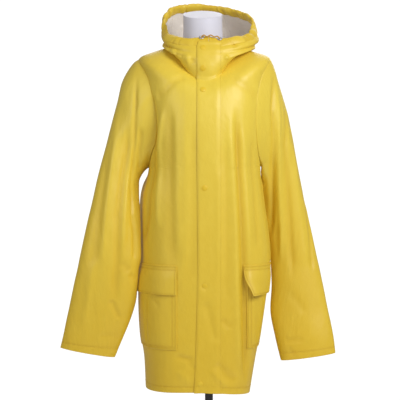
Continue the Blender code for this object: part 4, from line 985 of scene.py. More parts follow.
@dataclass
class Cloth:
    """A piece of cloth between two grids of points: its face and its back, in millimetres."""

    name: str
    face: Grid
    back: Grid
    closed: bool = False  # the columns go all the way round
    relief: Grid | None = None  # how far folds lift each point; in the cloth's colour it sets painted shade in valleys and painted highlights on ridges
    seams: list[Grid] = field(default_factory=list)  # stitched lines on its face

    def lengths(self, axis: int) -> Grid:
        """Distances along the grid's rows or columns, in metres."""
        points = self.face
        if self.closed:
            points = np.concatenate([points, points[:, :1]], axis=1)
        steps = np.linalg.norm(np.diff(points, axis=axis), axis=-1)
        zero = np.zeros_like(steps.take([0], axis=axis))
        return np.concatenate([zero, np.cumsum(steps, axis=axis)], axis=axis) * MM

    def corners(self) -> tuple[Grid, Grid]:
        """The quads of the face as row and column numbers of their corners."""
        rows, columns = self.face.shape[:2]
        across = columns if self.closed else columns - 1
        row, column = np.meshgrid(np.arange(rows - 1), np.arange(across), indexing="ij")
        row, column = row.ravel(), column.ravel()
        return (
            np.stack([row, row, row + 1, row + 1], axis=1),
            np.stack([column, column + 1, column + 1, column], axis=1),
        )

    def rim(self) -> list[list[int]]:
        """Closed loops of point numbers round the free edges."""
        rows, columns = self.face.shape[:2]
        if self.closed:
            last = (rows - 1) * columns
            return [list(range(columns)), list(range(last + columns - 1, last - 1, -1))]
        bottom = list(range(columns))
        right = [row * columns + columns - 1 for row in range(1, rows)]
        top = [(rows - 1) * columns + column for column in range(columns - 2, -1, -1)]
        left = [row * columns for row in range(rows - 2, 0, -1)]
        return [bottom + right + top + left]

    def groove(self, depth: float, half_width: float) -> Grid:
        """Sinks the face along its seams, and gives back how near each point is to one."""
        near = np.zeros(self.face.shape[:2])
        if not self.seams:
            return near
        points = np.concatenate([dense(seam, 1.5) for seam in self.seams])
        tree = KDTree(len(points))
        for number, point in enumerate(points):
            tree.insert(point, number)
        tree.balance()
        flat = self.face.reshape(-1, 3)
        far = np.array([tree.find(point)[2] for point in flat]).reshape(near.shape)
        near = np.exp(-((far / half_width) ** 2))
        inward = unit(self.back - self.face)
        self.face = self.face + inward * (near * depth)[..., None]
        return near

    def sew(self, face_finish: Material, back_finish: Material) -> Object:
        """Makes the closed shell as one object.

        Args:
            face_finish: the finish outside.
            back_finish: the finish inside.

        Returns:
            The object, at the origin, with its map and its marks.
        """
        seam = self.groove(SEAM_DEPTH, SEAM_HALF_WIDTH)
        rows, columns = self.face.shape[:2]
        count = rows * columns
        row, column = self.corners()
        quads = row * columns + column % columns
        normals = np.cross(
            self.face[row[:, 1], column[:, 1] % columns] - self.face[row[:, 0], column[:, 0]],
            self.face[row[:, 3], column[:, 3] % columns] - self.face[row[:, 0], column[:, 0]],
        )
        outward = (self.face - self.back)[row[:, 0], column[:, 0]]
        turned = float((normals * outward).sum()) < 0
        border = []
        for loop in self.rim():
            for here, there in zip(loop, loop[1:] + loop[:1]):
                border.append((there, here, here + count, there + count))
        faces = np.concatenate([quads, quads[:, ::-1] + count, np.array(border)])
        if turned:
            faces = faces[:, ::-1]
        mesh = bpy.data.meshes.new(self.name + "_cloth")
        points = np.concatenate([self.face.reshape(-1, 3), self.back.reshape(-1, 3)]) * MM
        mesh.from_pydata(points.tolist(), [], faces.tolist())
        mesh.materials.append(face_finish)
        mesh.materials.append(back_finish)
        inside = np.zeros(len(faces), np.int32)
        inside[len(quads) : 2 * len(quads)] = 1
        mesh.polygons.foreach_set("material_index", inside)
        self.lay_map(mesh, row, column, len(border), turned)
        relief = np.zeros(self.face.shape[:2]) if self.relief is None else self.relief
        # The relief mark sets painted shade in fold valleys and painted highlights on ridges; the seam mark
        # sets painted shade along the stitched grooves
        for name, values in (("relief", relief / FULL_RELIEF), ("seam", seam)):
            mark = mesh.attributes.new(name, "FLOAT", "POINT")
            mark.data.foreach_set("value", np.tile(values.ravel(), 2).astype(np.float32))
        mesh.shade_smooth()
        mesh.validate()
        return linked(self.name + "_cloth", mesh)

    def lay_map(
        self, mesh: bpy.types.Mesh, row: Grid, column: Grid, border: int, turned: bool
    ) -> None:
        """Gives the cloth a map in metres along its rows and columns."""
        across, along = self.lengths(1), self.lengths(0)
        wrapped = column % self.face.shape[1]
        corner = np.stack([across[row, column], along[row, wrapped]], axis=-1)
        both = np.concatenate([corner, corner[:, ::-1], np.zeros((border, 4, 2))])
        if turned:
            both = both[:, ::-1]
        layer = mesh.uv_layers.new(name="cloth")
        layer.data.foreach_set("uv", both.reshape(-1).astype(np.float32))


def dense(path: Grid, step: float) -> Grid:
    """A polyline's points, with more between them, no two further apart than a step."""
    found = [path[0]]
    for start, end in zip(path[:-1], path[1:]):
        count = max(1, math.ceil(np.linalg.norm(end - start) / step))
        found += [start + (end - start) * k / count for k in range(1, count + 1)]
    return np.array(found)


def ends_close(count: int, lead: float) -> Grid:
    """Shares from 0 to 1, with two more close to each end, so that an edge can be rounded."""
    inner = np.linspace(0, 1, count + 1)[1:-1]
    return np.concatenate([[0, lead, 2.6 * lead], inner, [1 - 2.6 * lead, 1 - lead, 1]])


def walled(
    points: Grid, normals: Grid, thick: Any, closed: bool = False, dip: float = 0.0
) -> tuple[Grid, Grid]:
    """Gives a grid a wall behind it, rounded at its free edges.

    Args:
        points: the outside's points.
        normals: its normals.
        thick: the wall's thickness, one number or one for each point.
        closed: whether the columns go all the way round.
        dip: how far the first and last columns sink, as at a seam.

    Returns:
        The face and the back.
    """
    rows, columns = points.shape[:2]
    profile = np.array([0.25, 0.8, 1.0])  # of the wall's thickness, from a free edge inwards
    from_end = np.minimum(np.arange(rows), np.arange(rows)[::-1])
    fill = profile[np.minimum(from_end, 2)][:, None] * np.ones((1, columns))
    sink = np.zeros((rows, columns))
    if not closed:
        from_side = np.minimum(np.arange(columns), np.arange(columns)[::-1])
        fill = np.minimum(fill, profile[np.minimum(from_side, 2)][None])
        sink = sink + np.array([1.0, 0.7, 0.35, 0.0])[np.minimum(from_side, 3)][None] * dip
    middle = points - normals * (thick / 2 + sink)[..., None]
    half = normals * (fill * thick / 2)[..., None]
    return middle + half, middle - half


def true_normals(points: Grid, guide: Grid, closed: bool = False) -> Grid:
    """Normals of a grid itself, on the side that the guide's normals point to."""
    along = np.gradient(points, axis=0)
    across = np.gradient(points, axis=1)
    if closed:
        across = (np.roll(points, -1, axis=1) - np.roll(points, 1, axis=1)) / 2
    found = unit(np.cross(along, across))
    return found * np.sign(np.sum(found * guide))


def room(points: Grid, normals: Grid, thick: float) -> Grid:
    """A wall's thickness at each point, less where the grid bends sharply."""
    bend = np.zeros(points.shape[:2])
    for axis in (0, 1):
        step, turn = np.gradient(points, axis=axis), np.gradient(normals, axis=axis)
        size = np.maximum(np.sum(step * step, axis=-1), 1e-6)
        bend = np.maximum(bend, np.abs(np.sum(step * turn, axis=-1)) / size)
    fits = np.clip(0.45 / np.maximum(bend, 1e-6), 0.3, thick)
    least = np.minimum.reduce([np.roll(np.roll(fits, k, 0), j, 1) for k in (-1, 0, 1) for j in (-1, 0, 1)])
    return blurred(blurred(least, 0, 3), 1, 3)


def tucked(
    points: Grid, normals: Grid, relief: Grid, tuck: Tuck, axis: int = 0, last: bool = False
) -> tuple[Grid, ...]:
    """Adds a row or a column that runs on under the neighbouring piece.

    Args:
        points: the outside's points.
        normals: its normals.
        relief: how far folds lift each point.
        tuck: how far it runs on and how far it sinks.
        axis: 0 for a row, 1 for a column.
        last: whether it comes after the last one, and not before the first.

    Returns:
        The longer grids.
    """
    way = -1 if last else 1
    points, normals, relief = (np.moveaxis(grid, axis, 0)[::way] for grid in (points, normals, relief))
    first = points[0] + unit(points[0] - points[2]) * tuck.reach - normals[0] * tuck.depth
    longer = (
        np.concatenate([first[None], points]),
        np.concatenate([normals[:1], normals]),
        np.concatenate([relief[:1], relief]),
    )
    return tuple(np.moveaxis(grid[::way], 0, axis) for grid in longer)


class PatternTree:
    """A Geometry Nodes tree that repeats a small shape over a guide mesh."""

    def __init__(self, name: str, *sizes: str):
        """Starts the tree, with a named input for each size."""
        self.tree = bpy.data.node_groups.new(name, "GeometryNodeTree")
        face = self.tree.interface
        for way in ("INPUT", "OUTPUT"):
            face.new_socket("Geometry", in_out=way, socket_type="NodeSocketGeometry")
        self.inputs: dict[str, str] = {}
        for size in sizes:
            socket = face.new_socket(size, in_out="INPUT", socket_type="NodeSocketFloat")
            self.inputs[size] = socket.identifier
        self.given = self.tree.nodes.new("NodeGroupInput").outputs

    def add(self, kind: str, sockets: dict[Any, Any], out: Any = 0, **settings: Any) -> Socket:
        """Adds a node with its settings and its numbers or links, and gives back one of its outputs."""
        made = self.tree.nodes.new(kind)
        for name, value in settings.items():
            setattr(made, name, value)
        for name, value in sockets.items():
            if isinstance(value, Socket):
                self.tree.links.new(value, made.inputs[name])
            else:
                made.inputs[name].default_value = value
        return made.outputs[out]

    def close(self, instances: Socket, finish: Material) -> None:
        """Ends the tree with the instances made real, in a finish."""
        real = self.add("GeometryNodeRealizeInstances", {"Geometry": instances})
        dressed = self.add("GeometryNodeSetMaterial", {"Geometry": real, "Material": finish})
        self.tree.links.new(dressed, self.tree.nodes.new("NodeGroupOutput").inputs[0])

    def applied(self, name: str, guide: bpy.types.Mesh, sizes: dict[str, float]) -> Object:
        """What the tree makes of a guide mesh, with values for its sizes, as one plain mesh object."""
        holder = linked(guide.name, guide)
        modifier = holder.modifiers.new("pattern", "NODES")
        modifier.node_group = self.tree
        for size, value in sizes.items():
            modifier[self.inputs[size]] = value
        bpy.context.view_layer.update()
        evaluated = holder.evaluated_get(bpy.context.evaluated_depsgraph_get())
        mesh = bpy.data.meshes.new_from_object(evaluated)
        mesh.name = name
        bpy.data.objects.remove(holder, do_unlink=True)
        return linked(name, mesh)


class StitchTree(PatternTree):
    """Lays one small stitch after another along polylines; its sizes are millimetres."""

    PITCH, LENGTH, THICK = "Pitch", "Length", "Thickness"
    sizes = {PITCH: 3.4, LENGTH: 3.4 * 0.72, THICK: 0.36}
    taper = 2.4  # how much slimmer the thread gets with the square of the distance from its middle
    guide_step = 3.0

    def __init__(self, finish: Material):
        """Polylines to curves, a stitch at each step, turned along its curve."""
        super().__init__("stitch_line", *self.sizes)
        given = self.given
        line = self.add("GeometryNodeMeshToCurve", {"Mesh": given["Geometry"]})
        sockets = {"Curve": line, "Length": given[self.PITCH]}
        steps = self.add("GeometryNodeResampleCurve", sockets, mode="LENGTH")
        way = self.add("GeometryNodeInputTangent", {})
        turn = self.add("FunctionNodeAlignRotationToVector", {"Vector": way}, axis="Z")
        sockets = {"Vertices": 6, "Radius": given[self.THICK], "Depth": given[self.LENGTH], "Side Segments": 3}
        thread = self.grain(self.add("GeometryNodeMeshCylinder", sockets), given[self.LENGTH])
        smooth = self.add("GeometryNodeSetShadeSmooth", {"Geometry": thread})
        sockets = {"Points": steps, "Instance": smooth, "Rotation": turn}
        self.close(self.add("GeometryNodeInstanceOnPoints", sockets), finish)

    def grain(self, mesh: Socket, length: Socket) -> Socket:
        """Draws the ends of the thread in, so that each stitch is a small grain."""
        place = self.add("GeometryNodeInputPosition", {})
        height = self.add("ShaderNodeSeparateXYZ", {0: place}, out=2)
        share = self.add("ShaderNodeMath", {0: height, 1: length}, operation="DIVIDE")
        square = self.add("ShaderNodeMath", {0: share, 1: share}, operation="MULTIPLY")
        scale = self.add("ShaderNodeMath", {0: square, 1: -self.taper, 2: 1.0}, operation="MULTIPLY_ADD")
        slim = self.add("ShaderNodeCombineXYZ", {0: scale, 1: scale, 2: 1.0})
        drawn = self.add("ShaderNodeVectorMath", {0: place, 1: slim}, operation="MULTIPLY")
        return self.add("GeometryNodeSetPosition", {"Geometry": mesh, "Position": drawn})

    def lay(self, name: str, lines: Sequence[Grid]) -> Object:
        """Lays stitches along polylines in millimetres, and gives back one plain mesh."""
        points, edges = [], []
        for line in lines:
            first = len(points)
            points += [tuple(point * MM) for point in dense(line, self.guide_step)]
            edges += [(k, k + 1) for k in range(first, len(points) - 1)]
        mesh = bpy.data.meshes.new(name + "_line")
        mesh.from_pydata(points, edges, [])
        return self.applied(name, mesh, {size: value * MM for size, value in self.sizes.items()})


class FittingTree(PatternTree):
    """Sets one turned fitting at each point, along the point's axis."""

    SCALE, AXIS = "Scale", "axis"

    def __init__(self, name: str, pattern: Object, finish: Material):
        """Builds the tree round a pattern object."""
        super().__init__(name, self.SCALE)
        axis = self.add("GeometryNodeInputNamedAttribute", {"Name": self.AXIS}, data_type="FLOAT_VECTOR")
        turn = self.add("FunctionNodeAlignRotationToVector", {"Vector": axis}, axis="Z")
        source = self.add("GeometryNodeObjectInfo", {"Object": pattern}, out="Geometry")
        sockets = {"Points": self.given["Geometry"], "Instance": source}
        sockets |= {"Rotation": turn, "Scale": self.given[self.SCALE]}
        self.close(self.add("GeometryNodeInstanceOnPoints", sockets), finish)

    def set_at(self, name: str, points: Sequence[Grid], axes: Sequence[Grid]) -> Object:
        """Sets a fitting at each point, in millimetres, and gives back one plain mesh."""
        mesh = bpy.data.meshes.new(name + "_points")
        mesh.from_pydata([tuple(point * MM) for point in points], [], [])
        mark = mesh.attributes.new(self.AXIS, "FLOAT_VECTOR", "POINT")
        mark.data.foreach_set("vector", np.array(axes, np.float32).ravel())
        return self.applied(name, mesh, {self.SCALE: 1.0})


def ride(piece: Object, slot: str, *nodes: str) -> None:
    """Fixes a piece to the body, hides the solids that it stands for and logs its faces."""
    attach(piece, "root")
    if nodes:
        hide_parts(*nodes)
    faces = len(piece.data.polygons) if piece.type == "MESH" else 0
    log.info("%s: %d faces", piece.name, faces)


def hang(
    cloth: Cloth, finishes: tuple[Material, ...],
) -> None:
    """Makes a piece of cloth in the place of the solid with its name.

    Args:
        cloth: the piece.
        finishes: its finishes outside and inside.
    """
    piece = cloth.sew(*finishes)
    ride(piece, "yellow_cloth", cloth.name)


@dataclass
class Body:
    """The two fronts and the back."""

    coat: Loft
    thick: float = 1.4
    closure_x: float = -0.5
    step: float = 4.4  # between rows
    seam_dip: float = 0.6  # how far the panels' edges sink at their seams
    front_columns: int = 54
    back_columns: int = 92
    armhole_steps: int = 60
    hem_fold: float = 20.0  # the hem's turned-up part
    trim: float = 0.07  # degrees from a panel's edge to the middle of its seam
    neck_tuck: Tuck = Tuck(3.0, -1.6)
    side_tuck: Tuck = Tuck(3.0, 1.6)  # of a front under the back
    hem_lines: list[Grid] = field(default_factory=list)

    def armhole(self, side: Side) -> Armhole:
        """The armhole on a side."""
        return Armhole(self.coat, side)

    def rows(self) -> Grid:
        """Rows from the hem to the neck, with the armholes' own between the armpit and the shoulder."""
        coat = self.coat
        armpit, shoulder = coat.row_named("armpit"), coat.row_named("shoulder")
        low = coat.fine_rows(0.0, armpit, self.step)
        turns = np.linspace(180, 0, self.armhole_steps + 1)
        middle = armpit + (1 + np.cos(np.radians(turns))) / 2 * (shoulder - armpit)
        high = coat.fine_rows(shoulder, coat.last(), self.step)
        close = [0.012, 0.03]
        return np.concatenate([low[:1], close, low[1:-1], middle, high[1:-1], high[-1:] - [0.03], high[-1:]])

    def front_grid(self, side: Side) -> tuple[Grid, Grid]:
        """Rows and turns of a front panel."""
        rows = self.rows()
        start = self.coat.turn_at(rows, self.closure_x)
        end = self.armhole(side).edge(rows, ahead=True)
        shares = ends_close(self.front_columns, 0.004)
        turns = start[:, None] + (end - start)[:, None] * shares
        turns[:, 0] += self.trim * side.value
        turns[:, -1] -= self.trim * side.value
        return np.broadcast_to(rows[:, None], turns.shape), turns

    def back_grid(self) -> tuple[Grid, Grid]:
        """Rows and turns of the back panel, from its left seam to its right one."""
        rows = self.rows()
        left = self.armhole(Side.LEFT).edge(rows, ahead=False) + self.trim
        right = self.armhole(Side.RIGHT).edge(rows, ahead=False) + 360 - self.trim
        turns = left[:, None] + (right - left)[:, None] * ends_close(self.back_columns, 0.002)
        return np.broadcast_to(rows[:, None], turns.shape), turns

    def hem_line(self, turns: Grid) -> Grid:
        """A line round the hem, just off the cloth at the top of its turned-up part."""
        hem, skirt = BODY_RINGS[:2]
        row = np.full(turns.shape, self.hem_fold / (skirt.z_front - hem.z_front))
        points, normals = self.coat.patch(row, turns)
        return points + normals * STITCH_STAND

    def panel(self, name: str, rows: Grid, turns: Grid) -> Cloth:
        """One panel, with a line for its hem's stitches."""
        points, normals = self.coat.patch(rows, turns)
        relief = self.coat.relief(self.coat.smooth(rows, turns), rows)
        grids = tucked(points, normals, relief, self.neck_tuck, last=True)
        if name != "back":
            grids = tucked(*grids, self.side_tuck, axis=1, last=True)
        points, normals, relief = grids
        face, back = walled(points, normals, self.thick, dip=self.seam_dip)
        hem = self.hem_line(turns[0])
        self.hem_lines.append(hem)
        return Cloth(name, face, back, relief=relief, seams=[hem])

    def build(self, wardrobe: Wardrobe) -> None:
        """Makes the three panels."""
        for name, grid, flat, area in (
            ("front_right", self.front_grid(Side.RIGHT), (0.30, 0.87), 0.22),
            ("front_left", self.front_grid(Side.LEFT), (0.28, 0.87), 0.205),
            ("back", self.back_grid(), (0.48, 0.90), 0.37),
        ):
            hang(self.panel(name, *grid), wardrobe.lined)


@dataclass
class Sleeves:
    """The two one-piece sleeves, each from its armhole to its open cuff."""

    body: Body
    thick: float = 1.4
    gap: float = 0.9
    hold: float = 6.0
    round_count: int = 120
    step: float = 4.2
    cuff_fold: float = 20.0
    tuck: Tuck = Tuck(7.0, 2.4)
    lines: list[Grid] = field(default_factory=list)

    def rows(self, side: Side) -> Grid:
        """Rows no further apart than a step, closer at both ends."""
        cuts = SLEEVE_CUTS[side]
        found = [0.0, 0.04, 0.12]
        for number, (upper, lower) in enumerate(zip(cuts[:-1], cuts[1:])):
            count = max(4, math.ceil(upper.far_from(lower) / self.step))
            found += list(number + np.linspace(0, 1, count + 1)[1:])
        return np.array(sorted(found + [len(cuts) - 1 - 0.012, len(cuts) - 1 - 0.03]))

    def build(self, wardrobe: Wardrobe) -> None:
        """Makes both sleeves."""
        for side, flat, area in ((Side.RIGHT, (0.48, 0.80), 0.25), (Side.LEFT, (0.46, 0.80), 0.235)):
            tube = SleeveTube(self.body.armhole(side), self.gap, self.hold)
            angles = np.linspace(0, 360, self.round_count + 1)[:-1]
            rows, turns = np.meshgrid(self.rows(side), angles, indexing="ij")
            points, normals = tube.patch(rows, turns)
            points[0], normals[0] = tube.armhole.coat.patch(*tube.armhole.place(angles, self.gap))
            relief = np.sum((points - tube.smooth(rows, turns)) * normals, axis=-1)
            normals = true_normals(points, normals, closed=True)
            points, normals, relief = tucked(points, normals, relief, self.tuck)
            face, back = walled(points, normals, self.thick, closed=True)
            upper, lower = SLEEVE_CUTS[side][-2:]
            row = len(SLEEVE_CUTS[side]) - 1 - self.cuff_fold / upper.far_from(lower)
            around = np.linspace(0, 360, self.round_count // 2 + 1)
            line, facing = tube.patch(np.full(len(around), row), around)
            line = line + facing * STITCH_STAND
            self.lines.append(line)
            cloth = Cloth("sleeve_" + side.word, face, back, True, relief, [line])
            hang(cloth, wardrobe.lined)


@dataclass
class Hood:
    """The lowered hood: two sides, a crown and the channel round its opening."""

    hood: Loft
    thick: float = 1.4
    crown_half: float = 32.0  # degrees either side of the back
    closure_x: float = -0.5
    side_columns: int = 120
    crown_columns: int = 44
    step: float = 3.4
    rim_height: float = 19.0
    rim_depth: float = 11.0
    rim_depth_front: float = 5.0
    rim_flat_turns: tuple[float, float] = (20.0, 45.0)
    rim_gap: float = 0.8
    rim_end_gap: float = 0.15
    rim_peak: tuple[float, float, float] = (-6.0, 24.0, 11.0)  # x, half width and rise behind the flap
    rim_tuck: float = 5.0  # how far it comes down over the hood's edge
    rim_stations: int = 400
    rim_passes: int = 105  # of smoothing along it
    panel_passes: int = 57  # and along the panels' upper rows
    rim_columns: int = 28
    rim_thick: float = 0.8
    rim_tone: tuple[float, float] = (4.0, -4.5)  # how its gathers and all of it deepen its colour: painted shade over the channel, darkest in the creases
    tuck: Tuck = Tuck(2.4, 0.4)
    seam_dip: float = 0.5
    seam_share: float = 0.985  # where the crown's stitches run, from the closure to its seam
    even_rows: tuple[float, float] = (3.0, 2.5)  # where the smoothing starts below the edge, and its rise
    gather_radius: float = 9.0
    slant: float = 5.0  # how far the gathers lean along the channel
    slant_length: float = 60.0
    crease_depth: float = 1.7
    crease_width: float = 0.35
    gather_stand: float = 0.5
    lines: list[Grid] = field(default_factory=list)

    def side_turns(self, rows: Grid, side: Side, shares: Grid) -> Grid:
        """Turns of a side panel, from the closure to the crown's seam."""
        start = self.hood.turn_at(rows, self.closure_x)
        end = side.value * (180 - self.crown_half)
        return start[:, None] + (end - start)[:, None] * shares

    def panels(self, wardrobe: Wardrobe) -> None:
        """The two sides and the crown."""
        last = self.hood.last()
        rows = self.hood.fine_rows(0.0, last, self.step)
        rows = np.concatenate([rows[:1], [0.04], rows[1:-1], [last - 0.04], rows[-1:]])
        shares = ends_close(self.side_columns, 0.002)
        across = ends_close(self.crown_columns, 0.005)
        seam = 180 - self.crown_half
        crown = np.broadcast_to(seam + 2 * self.crown_half * across, (len(rows), len(across)))
        for name, turns, flat, area in (
            ("hood_right", self.side_turns(rows, Side.RIGHT, shares), (0.22, 0.36), 0.034),
            ("hood_left", self.side_turns(rows, Side.LEFT, shares), (0.25, 0.36), 0.044),
            ("hood_crown", crown, (0.20, 0.46), 0.068),
        ):
            grid = np.broadcast_to(rows[:, None], turns.shape)
            points, normals = self.hood.patch(grid, turns)
            smooth = self.hood.smooth(grid, turns)
            relief = self.hood.relief(smooth, grid)
            near_edge = eased((rows - last + self.even_rows[0]) / self.even_rows[1])[:, None, None]
            points = points + (blurred(smooth, 1, self.panel_passes) - smooth) * near_edge
            points, normals, relief = tucked(points, true_normals(points, normals), relief, self.tuck)
            face, back = walled(points, normals, room(points, normals, self.thick), dip=self.seam_dip)
            cloth = Cloth(name, face, back, relief=relief)
            hang(cloth, wardrobe.lined)
        for side in Side:
            beside = self.side_turns(rows, side, np.array([self.seam_share]))[:, 0]
            line, facing = self.hood.patch(rows[4:-4], beside[4:-4])
            self.lines.append(line + facing * STITCH_STAND)

    def rim_frame(self, turns: Grid, peaked: bool = True) -> tuple[Grid, ...]:
        """Middle of the channel, its upward and outward directions, half its height and its depth."""
        last = np.full(len(turns), self.hood.last())
        edge, normals = self.hood.patch(last, turns)
        up = unit(edge - self.hood.folded(last - 0.25, turns))
        normals = unit(normals - up * np.sum(normals * up, axis=-1, keepdims=True))
        from_front = np.abs((np.asarray(turns) + 180) % 360 - 180)
        x, half_width, rise = self.rim_peak
        peak = bump(edge[..., 0], x, half_width) * (from_front < 90) * peaked
        high = (self.rim_height + rise * peak[..., None]) / 2
        middle = edge + up * (high + self.rim_gap) - normals * self.thick / 2
        flat, full = self.rim_flat_turns
        spread = eased((from_front - flat) / (full - flat))
        depth = self.rim_depth_front + (self.rim_depth - self.rim_depth_front) * spread
        return middle, up, normals, high, depth[..., None] / 2

    def on_rim(self, shape: tuple, turn: Any) -> tuple[Grid, Grid]:
        """Points and normals of the channel's oval section, at a turn down from its top."""
        middle, up, out, high, deep = shape
        points = middle + up * high * math.cos(turn) + out * deep * math.sin(turn)
        return points, unit(up * math.cos(turn) / high + out * math.sin(turn) / deep)

    def evened(self, shape: tuple[Grid, ...]) -> tuple[Grid, ...]:
        """The same frame without the kinks of the hood's edge."""
        middle, up, out, high, deep = shape
        middle, up, out = (blurred(part, 0, self.rim_passes) for part in (middle, up, out))
        out = unit(out - unit(up) * np.sum(out * unit(up), axis=-1, keepdims=True))
        return middle, unit(up), out, high, deep

    def channel(self, wardrobe: Wardrobe) -> None:
        """The gathered channel that holds the drawcord."""
        last = np.array([self.hood.last()])
        left = float(self.hood.turn_at(last, self.closure_x)[0]) + self.rim_end_gap
        turns = np.linspace(left, left + 360 - 2 * self.rim_end_gap, self.rim_stations)
        shape = self.evened(self.rim_frame(turns))
        rings, facing = [], []
        for k in range(self.rim_columns):
            turn = 2 * math.pi * k / self.rim_columns
            points, normals = self.on_rim(shape, turn)
            rings.append(points - shape[1] * self.rim_tuck * max(0.0, -math.cos(turn)) ** 2)
            facing.append(normals)
        points, normals = np.stack(rings, axis=1), np.stack(facing, axis=1)
        pucker = self.pucker(points) * shape[4] * 2 / self.rim_depth
        face = points + normals * pucker[..., None]
        back = face - normals * self.rim_thick
        for end in (0, -1):
            face[end] = (face[end] + back[end]) / 2
        # The relief mark here carries painted shade over the channel, darkest in its gathers' creases
        cloth = Cloth("hood_rim", face, back, True, pucker * self.rim_tone[0] + self.rim_tone[1])
        hang(cloth, wardrobe.double)

    def pucker(self, points: Grid) -> Grid:
        """How the gathers lift the channel's cloth: short slanted creases across it."""
        steps = np.linalg.norm(np.diff(points[:, 0], axis=0), axis=-1)
        along = np.concatenate([[0], np.cumsum(steps)])[:, None] * np.ones((1, points.shape[1]))
        turn = np.linspace(0, 2 * math.pi, points.shape[1], endpoint=False)[None] + 0 * along
        slant, r = self.slant * np.sin(turn + along / self.slant_length), self.gather_radius
        place = np.stack([along + slant, r * np.cos(turn), r * np.sin(turn)], axis=-1)
        gathers = sum(swell(place, wave) for wave in RIM_WAVES)
        crossing = np.abs(swell(place, RIM_CREASES))
        creases = self.crease_depth * np.clip(1 - crossing / self.crease_width, 0, 1) ** 2
        return gathers - creases + self.gather_stand

    def build(self, wardrobe: Wardrobe) -> None:
        """Makes all four pieces."""
        self.panels(wardrobe)
        self.channel(wardrobe)


